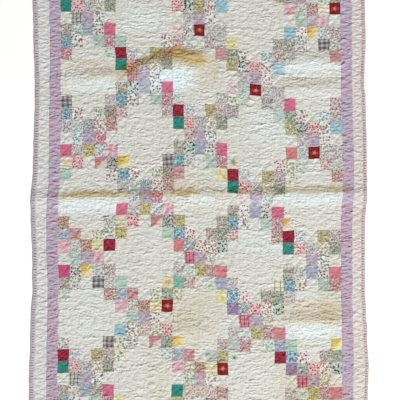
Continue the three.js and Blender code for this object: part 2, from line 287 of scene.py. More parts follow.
# Squares that the maker changed in single blocks: by block row and column, then square row and column
SWAPPED_SQUARES: dict[tuple[int, int], dict[tuple[int, int], Scrap]] = {
    (0, 0): {(3, 1): Scrap.mint_grey},
    (0, 2): {
        (1, 0): Scrap.coral_dot,
        (1, 1): Scrap.mint_black,
        (1, 2): Scrap.olive_speck,
        (1, 3): Scrap.red_sprig,
        (3, 1): Scrap.black_sprig,
        (4, 0): Scrap.rose_sprig,
        (4, 3): Scrap.grey_mauve,
    },
    (0, 4): {(2, 2): Scrap.mauve, (3, 1): Scrap.brown_dot, (4, 0): Scrap.taupe_print},
    (1, 1): {(2, 1): Scrap.rose_check},
    (1, 3): {(1, 1): Scrap.black_leaf},
    (2, 0): {(4, 4): Scrap.charcoal_print},
    (2, 2): {(2, 1): Scrap.rose_dot, (4, 1): Scrap.grey_sprig},
    (2, 4): {(3, 0): Scrap.coral, (4, 3): Scrap.rose_sprig},
    (3, 1): {(1, 2): Scrap.blue_grey, (4, 4): Scrap.charcoal_print},
    (3, 3): {(2, 1): Scrap.rose_stripe, (2, 3): Scrap.grey_sprig, (3, 1): Scrap.brown_dot},
    (4, 0): {
        (1, 4): Scrap.crimson,
        (3, 0): Scrap.magenta,
        (0, 4): Scrap.sage_leaf,
        (3, 1): Scrap.black_leaf,
        (4, 0): Scrap.taupe_print,
    },
    (4, 2): {(1, 0): Scrap.coral, (1, 2): Scrap.red_dot, (4, 0): Scrap.jade},
    (4, 4): {(2, 1): Scrap.cream, (3, 1): Scrap.grey_sprig, (3, 4): Scrap.coral},
    (5, 1): {
        (2, 3): Scrap.brown_sprig,
        (3, 1): Scrap.brown_sprig,
        (3, 2): Scrap.faded_rose,
        (3, 3): Scrap.brown_speck,
        (3, 4): Scrap.coral_dot,
        (4, 0): Scrap.leaf_sprig,
        (4, 3): Scrap.coral_stripe,
        (4, 4): Scrap.sage_print,
    },
    (5, 3): {(4, 1): Scrap.rose_mauve},
    (6, 0): {(3, 1): Scrap.grey_sprig, (3, 3): Scrap.taupe_print},
    (6, 2): {
        (0, 3): Scrap.teal,
        (0, 4): Scrap.olive_speck,
        (1, 1): Scrap.brown_speck,
        (2, 1): Scrap.sage_leaf,
        (2, 2): Scrap.mauve,
        (2, 3): Scrap.brown_dot,
        (3, 0): Scrap.emerald,
        (3, 1): Scrap.faded_rose,
        (3, 2): Scrap.faded_rose,
        (3, 3): Scrap.faded_rose,
        (3, 4): Scrap.brown_rose,
    },
}

# The corner squares of each plain block: head left, head right, foot left, foot right
PLAIN_CORNERS: dict[tuple[int, int], str] = {
    (0, 1): "cream cream mint brown_sprig",
    (0, 3): "cream olive_speck lemon grey_print",
    (1, 0): "rose_red pale_mint dark_plaid light_mauve",
    (1, 2): "tan_stripe rose pale_mint light_grey",
    (1, 4): "light_grey rose hot_pink rose_dot",
    (2, 1): "rose_sprig grey_mauve gold dark_plaid",
    (2, 3): "grey_print mint grey_bloom red_dot",
    (3, 0): "mint brown_sprig brown_red grey_sprig",
    (3, 2): "rose lemon olive_speck taupe_print",
    (3, 4): "leaf_sprig brown_rose gold_corner cream",
    (4, 1): "olive_print mint_green mint_green yellow_bloom",
    (4, 3): "rose_sprig brown_rose light_mauve yellow_plaid",
    (5, 0): "pale_mint brown_rose grey_sprig dark_plaid",
    (5, 2): "leaf_sprig lemon gold mauve_print",
    (5, 4): "light_mauve cream mint buttercup",
    (6, 1): "leaf_sprig pale_mint lemon cream",
    (6, 3): "mint_bloom crimson cream cream",
}


# --------------------------------------------------------------------------------------------------------
# The lie of the quilt
# --------------------------------------------------------------------------------------------------------


def eased(share: Array) -> Array:
    """Ease a share between 0 and 1, so that it leaves 0 and reaches 1 gently."""
    return share * share * (3 - 2 * share)


@dataclass(frozen=True)
class Fold:
    """A soft fold: where its crest runs, how high it stands and how far its slopes reach."""

    left: float
    right: float
    along: float
    tilt: float
    bow: float
    rise: float
    above: float
    below: float
    fade: float

    def shape(self, x: Array, y: Array) -> Array:
        """Give the fold's rise at each point.

        Args:
            x: Places across.
            y: Places along.

        Returns:
            The rise, 0 off the fold.
        """
        half = (self.right - self.left) / 2
        aside = (x - (self.left + self.right) / 2) / half
        ends = np.clip(half * (1 - np.abs(aside)) / self.fade, 0, 1)
        crest = self.along + self.tilt * aside / 2 - self.bow * aside**2
        reach = np.where(y > crest, self.above, self.below)
        share = np.clip(np.abs(y - crest) / reach, 0, 1)
        return self.rise * eased(ends) * np.cos(share * math.pi / 2) ** 2


@dataclass(frozen=True)
class Tint:
    """A patch of painted shade or painted light: its middle, its half sizes, its strength and its tilt."""

    x: float
    y: float
    half_width: float
    half_height: float
    share: float
    tilt: float = 0.0
    # Between an ellipse, which is 2, and a rectangle
    squareness: float = 2.5
    # How far out it ends, and over how much of that it fades, in half sizes
    reach: float = 1.15
    rim: float = 0.65

    def shape(self, x: Array, y: Array) -> Array:
        """Give the patch's strength at each point: whole in its middle half, and eased to its rim.

        Args:
            x: Places across.
            y: Places along.

        Returns:
            The strength, 0 off the patch.
        """
        aside = (x - self.x) / self.half_width
        upward = (y - self.y - self.tilt * aside / 2) / self.half_height
        power = self.squareness
        off = (np.abs(aside) ** power + np.abs(upward) ** power) ** (1 / power)
        return self.share * eased(np.clip((self.reach - off) / self.rim, 0, 1))


@dataclass(frozen=True)
class Crease:
    """A thin dent between two points, that an old folding or a sharp bend has left."""

    start: tuple[float, float]
    end: tuple[float, float]
    depth: float
    width: float
    fade: float = 60.0

    def shape(self, x: Array, y: Array) -> Array:
        """Give the dent's depth at each point.

        Args:
            x: Places across.
            y: Places along.

        Returns:
            The depth, 0 off the crease.
        """
        length = math.dist(self.start, self.end)
        run_x, run_y = ((stop - begin) / length for begin, stop in zip(self.start, self.end, strict=True))
        aside, upward = x - self.start[0], y - self.start[1]
        run = aside * run_x + upward * run_y
        off = aside * run_y - upward * run_x
        ends = np.clip(run / self.fade, 0, 1) * np.clip((length - run) / self.fade, 0, 1)
        return self.depth * ends * np.exp(-((off / self.width) ** 2))


def piled(table: Mapping[str, Fold | Tint | Crease], x: Array, y: Array) -> Array:
    """Add up what a table of folds, tints or creases gives at each point."""
    return np.sum([one.shape(x, y) for one in table.values()], axis=0)


# Left end, right end, place along the quilt, tilt, bow, rise, reach above, reach below, fade at the ends
FOLDS: dict[str, Fold] = {
    "main crease": Fold(-900, 900, 10, 24, 0, 6.5, 44, 74, 60),
    "arched bulge": Fold(-335, 62, 618, 68, 24, 11, 56, 135, 60),
    "left ridge": Fold(-660, -330, 545, 36, 0, 6, 44, 66, 90),
    "right upper ridge": Fold(350, 680, 622, 0, 0, 6, 44, 70, 90),
    "right middle ridge": Fold(350, 680, 492, -4, 0, 6, 50, 60, 90),
    "right lower ridge": Fold(350, 690, -558, 0, 0, 6.5, 62, 64, 90),
    "middle lower ridge": Fold(-170, 110, -600, 0, 12, 4.5, 70, 60, 80),
}

CREASES: dict[str, Crease] = {
    "old folding": Crease((-7, -930), (-7, 190), 1.2, 3.6),
    "below the right upper ridge": Crease((365, 545), (660, 541), 2.2, 3.4, 30),
}

# Painted warm shade: a golden tint laid on the cloth's colour, mostly on the shaded side of its folds.
# Each tint gives its middle, its half width and half height, its strength and its tilt
PAINTED_SHADE_TINTS: dict[str, Tint] = {
    "main crease, left": Tint(-492, 17, 174, 18, 0.85, 20),
    "main crease, left block": Tint(-250, 18, 145, 15, 0.5, 6),
    "main crease, middle": Tint(-64, 25, 80, 21, 0.8, 4),
    "main crease, middle block": Tint(200, 30, 210, 15, 0.38, 8),
    "main crease, right": Tint(500, 36, 190, 20, 0.5, 6),
    "main crease, right end": Tint(640, 42, 60, 24, 0.35),
    "above the main crease": Tint(-30, 66, 150, 36, 0.18),
    "arched bulge": Tint(-62, 637, 108, 47, 1.0, -38),
    "arched bulge, left arm": Tint(-192, 634, 85, 34, 0.5, 50),
    "arched bulge, left side": Tint(-285, 594, 60, 30, 0.5, 60),
    "arched bulge, left foot": Tint(-338, 556, 46, 26, 0.45, 36),
    "left ridge, crest": Tint(-395, 562, 190, 17, 0.4, 100),
    "left ridge, slope": Tint(-480, 592, 110, 34, 0.22),
    "beside the bulge": Tint(42, 575, 66, 90, 0.28),
    "right upper ridge, foot": Tint(480, 522, 130, 24, 0.15),
    "old folding": Tint(-6, -372, 16, 540, 0.12),
    "middle of the foot": Tint(-20, -540, 140, 130, 0.22),
    "middle lower ridge": Tint(-75, -550, 60, 50, 0.15),
    "right lower ridge": Tint(510, -515, 180, 56, 0.38),
    "right, low": Tint(590, -470, 70, 130, 0.2),
    "foot, right": Tint(500, -880, 180, 150, 0.28),
    "foot": Tint(-180, -830, 70, 110, 0.12),
}

# Painted cool light, a cool white laid mostly on the lit side of the folds, in the same way
PAINTED_LIGHT_TINTS: dict[str, Tint] = {
    "head, left": Tint(-262, 800, 120, 62, 0.5),
    "left ridge": Tint(-470, 508, 130, 42, 0.5),
    "arched bulge": Tint(-122, 527, 126, 64, 0.95),
    "left of the bulge": Tint(-285, 492, 60, 40, 0.3),
    "right upper ridge": Tint(490, 584, 170, 34, 0.6),
    "main crease, left": Tint(-490, -40, 180, 42, 0.7),
    "main crease, middle": Tint(0, -4, 70, 30, 0.5),
    "main crease, middle block": Tint(255, -14, 80, 34, 0.4),
    "main crease, right": Tint(510, -4, 190, 38, 0.5),
    "right": Tint(265, -185, 100, 80, 0.25),
    "right of the middle": Tint(330, 320, 130, 120, 0.22),
    "right, low": Tint(400, -215, 110, 60, 0.25),
    "head, right": Tint(560, 850, 120, 80, 0.4),
    "right lower ridge": Tint(495, -605, 140, 36, 0.65),
    "foot, left": Tint(-530, -520, 150, 150, 0.15),
}


def curve(values: Array, places: Array) -> Array:
    """Read a smooth curve that runs through rows of values.

    Args:
        values: One row for each whole place.
        places: Where to read the curve, counted from the first row.

    Returns:
        One row for each place.
    """
    before, after = 2 * values[0] - values[1], 2 * values[-1] - values[-2]
    rows = np.concatenate([before[None], values, after[None]])
    low = np.clip(np.floor(places).astype(int), 0, len(values) - 2)
    t = (places - low)[:, None]
    a, b, c, d = (rows[low + step] for step in range(4))
    return b + t / 2 * (c - a + t * (2 * a - 5 * b + 4 * c - d + t * (3 * (b - c) + d - a)))


@dataclass(frozen=True)
class RowSeam:
    """A seam at the end of a row of blocks: where the six seams along the quilt cross it, x and then y."""

    aside: tuple[float, ...]
    along: tuple[float, ...]


@dataclass(frozen=True)
class QuiltPlan:
    """Where every seam of the quilt lies, seen from above."""

    half_length: float = 1070.0
    lavender_width: float = 50.8
    left_binding: float = 23.0
    right_binding: float = 17.5
    end_binding: float = 20.0
    # From the foot to the head
    row_seams: tuple[RowSeam, ...] = (
        RowSeam((-640, -384, -126, 130, 386, 644), (-952, -947, -949, -961, -963, -961)),
        RowSeam((-636.5, -382.5, -120, 132, 392, 645), (-682, -677.5, -676, -691, -692, -685)),
        RowSeam((-632, -376.5, -116.5, 125, 381, 640), (-413, -406, -405.5, -415.5, -419.5, -420.5)),
        RowSeam((-637, -377.5, -113.5, 127.5, 377, 639.5), (-137.5, -131, -131, -138.5, -148, -144)),
        RowSeam((-626.5, -365, -114, 127.5, 391, 648.5), (133, 132.5, 141.5, 132, 119, 125.5)),
        RowSeam((-623, -372.5, -118, 126.5, 385.5, 640.5), (404.5, 414, 421, 419.5, 393, 398.5)),
        RowSeam((-621.5, -378, -118.5, 122.5, 383.5, 638.5), (674.5, 679.5, 677.5, 673, 660.5, 664)),
        RowSeam((-626.5, -374.5, -123.5, 128.5, 383.5, 636.5), (945, 947, 945, 940.5, 934, 934)),
    )
    # The long edges, uneven as the cloth lies: place along, left edge, right edge
    long_edges: tuple[tuple[float, float, float], ...] = (
        (-1070, -764.5, 758.5),
        (-870, -765.5, 762.5),
        (-820, -765.5, 765.5),
        (-760, -764, 765.5),
        (-640, -761.5, 759.5),
        (-530, -757.5, 754.5),
        (-420, -752, 748.5),
        (-260, -752.5, 748),
        (-100, -758.5, 749.5),
        (-40, -759.5, 754),
        (15, -756, 757.5),
        (120, -749, 757.5),
        (230, -746.5, 756.5),
        (390, -742.5, 752.5),
        (530, -740, 745.5),
        (660, -744.5, 749.5),
        (715, -745.5, 751.5),
        (880, -749, 747.5),
        (1070, -751.5, 746.5),
    )

    def points(self, across: Array, along: Array) -> tuple[Array, Array]:
        """Turn places counted in seam lines into places in millimetres.

        Args:
            across: Places across the quilt, in seam lines from the left.
            along: Places along it, in seam lines from the foot.

        Returns:
            The x and y of each point, one row for each place along.
        """
        x = self._inside([seam.aside for seam in self.row_seams], across, along)
        y = self._inside([seam.along for seam in self.row_seams], across, along)
        end = self.half_length
        ends = ((-end, self.end_binding - end), (end, end - self.end_binding))
        y = self._bordered(y, along[:, None], HEAD_OUTER, ends)
        left, right = (self._edge(y, side) for side in (1, 2))
        sides = ((left, left + self.left_binding), (right, right - self.right_binding))
        x = self._bordered(x, across[None], RIGHT_OUTER, sides)
        return x, y

    @staticmethod
    def _inside(crossings: list[tuple[float, ...]], across: Array, along: Array) -> Array:
        """Read the centre panel's crossings at places that are kept inside it.

        Args:
            crossings: The seams' crossings, one row for each seam from the foot.
            across: Places across, in seam lines.
            along: Places along, in seam lines.

        Returns:
            One row for each place along.
        """
        rows = curve(np.array(crossings, float), np.clip(along - CENTRE_SEAM, 0, ROWS))
        return curve(rows.T, np.clip(across - CENTRE_SEAM, 0, COLUMNS)).T

    def _bordered(self, panel: Array, place: Array, last: int, edges: Sequence[Sequence[Place]]) -> Array:
        """Add the borders on two opposite sides of the centre panel.

        Args:
            panel: The places in the panel, which hold its rim's places outside it.
            place: The same places in seam lines, from the first side.
            last: The seam line of the other side's outer edge.
            edges: The outer edge and the binding's seam, of the first side and of the other.

        Returns:
            The places in the whole quilt.
        """
        first, other = edges
        low = self._strips((*first, panel - self.lavender_width, panel), place)
        high = self._strips((*other, panel + self.lavender_width, panel), last - place)
        return np.where(place < CENTRE_SEAM, low, np.where(place > last - CENTRE_SEAM, high, panel))

    @staticmethod
    def _strips(lines: Sequence[Place], place: Array) -> Array:
        """Give the places between the outer edge and the centre panel.

        Args:
            lines: The seam lines' places, from the outer edge.
            place: Where to read them, counted in seam lines from that edge.

        Returns:
            The places, even between two seam lines.
        """
        return sum(line * np.clip(1 - np.abs(place - index), 0, 1) for index, line in enumerate(lines))

    def _edge(self, y: Array, side: int) -> Array:
        """Give a long edge's place, eased between the points of its table.

        Args:
            y: Places along the quilt.
            side: The table's column, 1 for the left edge and 2 for the right one.

        Returns:
            The edge's x at each of them.
        """
        table = np.array(self.long_edges)
        place = np.interp(y, table[:, 0], np.arange(len(table)))
        low = np.minimum(np.floor(place).astype(int), len(table) - 2)
        share = (1 - np.cos(math.pi * (place - low))) / 2
        return table[low, side] * (1 - share) + table[low + 1, side] * share


# --------------------------------------------------------------------------------------------------------
# Relief
# --------------------------------------------------------------------------------------------------------


@dataclass
class Pucker:
    """Seeded smooth noise for cloth that has shrunk round its stitches."""

    seed: int
    cells: int = 256
    slopes: Array = field(init=False)

    def __post_init__(self) -> None:
        """Draw the random slopes once."""
        angles = np.random.default_rng(self.seed).random((self.cells, self.cells)) * 2 * math.pi
        self.slopes = np.stack([np.cos(angles), np.sin(angles)], axis=-1)

    def at(self, u: Array, v: Array) -> Array:
        """Read the noise.

        Args:
            u: Places across, counted in cells.
            v: Places along, counted in cells.

        Returns:
            Values from about -0.7 to 0.7, 0 at every whole place.
        """
        low_u, low_v = np.floor(u).astype(int), np.floor(v).astype(int)
        part_u, part_v = u - low_u, v - low_v
        ease_u, ease_v = (p**3 * (p * (6 * p - 15) + 10) for p in (part_u, part_v))
        total = np.zeros_like(u)
        for du in (0, 1):
            for dv in (0, 1):
                slope = self.slopes[(low_u + du) % self.cells, (low_v + dv) % self.cells]
                dot = slope[..., 0] * (part_u - du) + slope[..., 1] * (part_v - dv)
                weight_u = ease_u if du else 1 - ease_u
                weight_v = ease_v if dv else 1 - ease_v
                total += dot * weight_u * weight_v
        return total


@dataclass(frozen=True)
class Layer:
    """How a noise is read: the size of its cells in millimetres, its share, and where in it to start."""

    width: float
    height: float
    share: float = 1.0
    start_u: float = 0.0
    start_v: float = 0.0

    def of(self, noise: Pucker, x: Array, y: Array) -> Array:
        """Read a noise at each point."""
        return self.share * noise.at(x / self.width + self.start_u, y / self.height + self.start_v)


@dataclass
class Sewn:
    """How a piece is sewn, at each of its points.

    The lines are two fields that have a stitched line wherever either is a whole number. Seams and rim are
    distances from the nearest seam and from the piece's edge. Slant is how far along the quilt the puckers
    are moved, draw is how tightly the lines are drawn, and gather is how far washing has gathered the cloth.
    """

    lines: tuple[Array, Array]
    seams: Array
    rim: Array
    slant: Array | float
    draw: float
    gather: float


@dataclass
class Relief:
    """How high the quilt's top stands over the surface that it lies on."""

    # The cloth: its thickness without its puffs, its least one, and how much of a fold its underside follows
    sheet: float = 2.6
    thinnest: float = 1.4
    lift_share: float = 0.5
    # The stitched lines and the seams: slack_puff is the share of the puff where no line is drawn tight
    puff: float = 1.2
    puff_width: float = 11.0
    slack_puff: float = 0.5
    stitch_depth: float = 1.25
    stitch_width: float = 3.0
    stitch_spacing: float = 36.0
    seam_depth: float = 0.6
    seam_width: float = 2.2
    rim_width: float = 7.0
    # The puckers: their heights, how much of that a stitched line leaves, and their kinked run across
    broad_rise: float = 3.5
    fine_rise: float = 2.4
    cross_rise: float = 2.8
    line_gather: float = 0.7
    chevron_period: float = 44.0
    chevron_rise: float = 6.5
    # How far the seams wander, and the rims of the tints
    wander: float = 3.4
    tint_wander: tuple[float, float] = (28.0, 11.2)
    # The noises, the slow one first, and how they are read
    sway: Pucker = field(default_factory=lambda: Pucker(13))
    broad: Pucker = field(default_factory=lambda: Pucker(11))
    fine: Pucker = field(default_factory=lambda: Pucker(12))
    cross: Pucker = field(default_factory=lambda: Pucker(15))
    jog: Pucker = field(default_factory=lambda: Pucker(16))
    seams_aside: tuple[Layer, ...] = (Layer(70, 55, 1, 9.3, 2.1), Layer(28, 24, 0.5))
    seams_onward: tuple[Layer, ...] = (Layer(62, 48, 1, 41.7, 60.4), Layer(26, 30, 0.5, 80))
    tints_aside: tuple[Layer, ...] = (Layer(60, 40, 1, 5), Layer(22, 16, 0.6, 0, 33))
    tints_onward: tuple[Layer, ...] = (Layer(45, 30, 1, 0, 9), Layer(20, 12, 0.6, 71))
    drifts: tuple[Layer, ...] = (Layer(75, 90, 8, 20, 31), Layer(30, 40, 2.5, 0, 77))
    kinks: Layer = Layer(150, 42, 1.4, 8, 5)
    jogs: Layer = Layer(8, 20, 5.5, 3, 9)
    broad_ridges: Layer = Layer(62, 13.5, 2)
    fine_ridges: Layer = Layer(14, 7, 2, 7, 3)
    cross_ridges: Layer = Layer(10, 17)
    patches: Layer = Layer(120, 90, 0.5, 50, 12)
    crease_waver: Layer = Layer(110, 110, 5, 3, 17)

    def swayed(self, layers: Sequence[Layer], x: Array, y: Array) -> Array:
        """Add up some layers of the slow noise."""
        return sum(layer.of(self.sway, x, y) for layer in layers)

    def wandered(self, x: Array, y: Array) -> tuple[Array, Array]:
        """Let the seams wander as hand-sewn ones do.

        Args:
            x: Places across.
            y: Places along.

        Returns:
            The moved places.
        """
        aside = self.swayed(self.seams_aside, x, y)
        onward = self.swayed(self.seams_onward, x, y)
        return x + self.wander * aside, y + self.wander * onward

    def blurred(self, x: Array, y: Array) -> tuple[Array, Array]:
        """Let the rims of the tints run unevenly.

        Args:
            x: Places across.
            y: Places along.

        Returns:
            The places at which to read the tints.
        """
        aside = self.swayed(self.tints_aside, x, y)
        onward = self.swayed(self.tints_onward, x, y)
        return x + self.tint_wander[0] * aside, y + self.tint_wander[1] * onward

    def puckers(self, x: Array, y: Array, slant: Array | float) -> Array:
        """Give the small ridges across the quilt that washing has drawn up between the stitches.

        Args:
            x: Places across.
            y: Places along.
            slant: How far along the quilt each point's ridge is moved.

        Returns:
            The ridges' height, which dips below 0 between them.
        """
        phase = x / self.chevron_period + self.swayed([self.kinks], x, y)
        chevron = self.chevron_rise * np.abs(phase - np.round(phase)) * 2
        down = y + self.swayed(self.drifts, x, y) + chevron + self.jogs.of(self.jog, x, y) + slant
        broad = np.clip(np.abs(self.broad_ridges.of(self.broad, x, down)), 0, 1)
        fine = np.abs(self.fine_ridges.of(self.fine, x, down))
        cross = self.cross_ridges.of(self.cross, x, down)
        patchy = 1 + self.swayed([self.patches], x, y)
        return patchy * (self.broad_rise * broad + self.fine_rise * fine + self.cross_rise * cross)

    def stitches(self, lines: tuple[Array, Array]) -> tuple[Array, Array]:
        """Give the share of full puff and the depth share of the stitched lines.

        Args:
            lines: Two fields that have a stitched line wherever either is a whole number.

        Returns:
            Both shares at each point.
        """
        near = np.minimum(*(np.abs(f - np.round(f)) * self.stitch_spacing for f in lines))
        puff = 1 - np.exp(-((near / self.puff_width) ** 2))
        return puff, np.exp(-((near / self.stitch_width) ** 2))

    def creases(self, x: Array, y: Array) -> Array:
        """Give the depth of the thin creases, which run a little unevenly."""
        waver = self.swayed([self.crease_waver], x, y)
        return piled(CREASES, x + waver, y + waver)

    def top(self, x: Array, y: Array, sewn: Sewn) -> Array:
        """Give the height of the quilt's top.

        Args:
            x: Places across.
            y: Places along.
            sewn: How the piece is sewn.

        Returns:
            The height at each point.
        """
        puff, stitched = self.stitches(sewn.lines)
        inside = np.clip(sewn.rim / self.rim_width, 0, 1)
        drawn = sewn.draw * eased(inside)
        puff = self.slack_puff + (puff - self.slack_puff) * drawn
        seam = np.exp(-((sewn.seams / self.seam_width) ** 2))
        gather = (self.line_gather + (1 - self.line_gather) * puff) * (1 + (sewn.gather - 1) * inside)
        body = self.sheet + self.puff * puff + self.puckers(x, y, sewn.slant * drawn) * gather
        dents = self.stitch_depth * stitched * drawn + self.seam_depth * seam + self.creases(x, y)
        return piled(FOLDS, x, y) + np.maximum(body - dents, self.thinnest)


# --------------------------------------------------------------------------------------------------------
# Meshes
# --------------------------------------------------------------------------------------------------------


@dataclass
class Steps:
    """The places, in seam lines, where a piece has mesh lines, and every how many its underside has one."""

    at: Array
    every: int

    @classmethod
    def over(cls, start: int, stop: int, counts: Callable[[int], int], every: int) -> Steps:
        """Divide each stretch between two seam lines into its own number of steps.

        Args:
            start: The first seam line.
            stop: The last one.
            counts: The number of steps after a seam line.
            every: Steps to one step of the underside.

        Returns:
            The steps from the first seam line to the last.
        """
        parts = [np.linspace(s, s + 1, counts(s), endpoint=False) for s in range(start, stop)]
        return cls(np.append(np.concatenate(parts), float(stop)), every)

    def count(self) -> int:
        """Give the number of faces from end to end."""
        return len(self.at) - 1

    def base(self) -> Array:
        """Give the indices where the underside has a line."""
        return np.append(np.arange(0, self.count(), self.every), self.count())


@dataclass
class SheetMesh:
    """A closed sheet of quilted cloth: a fine top, a coarse underside and four walls."""

    name: str
    x: Array
    y: Array
    top: Array
    under: Array
    base_rows: Array
    base_columns: Array

    def build(self) -> bpy.types.Object:
        """Make the object.

        Returns:
            The piece, at the origin, with its place in its mesh. Its top faces come first, row by row.
        """
        mesh = bpy.data.meshes.new(self.name)
        points = self._points() * TO_METRES
        sizes, corners = self._faces()
        mesh.vertices.add(len(points))
        mesh.vertices.foreach_set("co", points.reshape(-1).astype(np.float32))
        mesh.loops.add(len(corners))
        mesh.loops.foreach_set("vertex_index", corners.astype(np.int32))
        mesh.polygons.add(len(sizes))
        starts = np.concatenate([[0], np.cumsum(sizes)[:-1]])
        mesh.polygons.foreach_set("loop_start", starts.astype(np.int32))
        mesh.update(calc_edges=True)
        piece = bpy.data.objects.new(self.name, mesh)
        bpy.context.scene.collection.objects.link(piece)
        return piece

    def _points(self) -> Array:
        """Give the points of the top and then those of the underside, in millimetres.

        Returns:
            One row for each point.
        """
        grid = np.ix_(self.base_rows, self.base_columns)
        upper = np.stack([self.x, self.y, self.top], axis=-1).reshape(-1, 3)
        lower = np.stack([self.x[grid], self.y[grid], self.under[grid]], axis=-1).reshape(-1, 3)
        return np.concatenate([upper, lower])

    def _faces(self) -> tuple[Array, Array]:
        """Join the points.

        Returns:
            The number of corners of each face, and the corners of all the faces in turn.
        """
        rows, columns = self.base_rows, self.base_columns
        ids = np.arange(self.x.size).reshape(self.x.shape)
        low = self.x.size + np.arange(rows.size * columns.size).reshape(rows.size, columns.size)
        faces = [list(face) for face in self._quads(low)[:, ::-1]]
        faces += self._wall(ids[0], low[0], columns)
        faces += self._wall(ids[:, -1], low[:, -1], rows)
        faces += self._wall(ids[-1], low[-1], columns, turned=True)
        faces += self._wall(ids[:, 0], low[:, 0], rows, turned=True)
        quads = self._quads(ids)
        sizes = np.concatenate([np.full(len(quads), quads.shape[1]), [len(face) for face in faces]])
        return sizes, np.concatenate([quads.reshape(-1), *faces])

    @staticmethod
    def _quads(ids: Array) -> Array:
        """Give the four corners of each face of a grid, turned to look up."""
        return np.stack([ids[:-1, :-1], ids[:-1, 1:], ids[1:, 1:], ids[1:, :-1]], axis=-1).reshape(-1, 4)

    @staticmethod
    def _wall(upper: Array, lower: Array, marks: Array, turned: bool = False) -> list[list[int]]:
        """Give one many-sided wall face for each step of the underside.

        Args:
            upper: The points along the top's side.
            lower: The points along the underside's.
            marks: Which of the upper points stand over the lower ones.
            turned: Whether the faces look the other way.

        Returns:
            The corners of each face.
        """
        faces = []
        for step, (start, stop) in enumerate(zip(marks[:-1], marks[1:], strict=True)):
            face = [lower[step], lower[step + 1], *upper[start : stop + 1][::-1]]
            faces.append(face[::-1] if turned else face)
        return faces


# --------------------------------------------------------------------------------------------------------
# Finishes
# --------------------------------------------------------------------------------------------------------


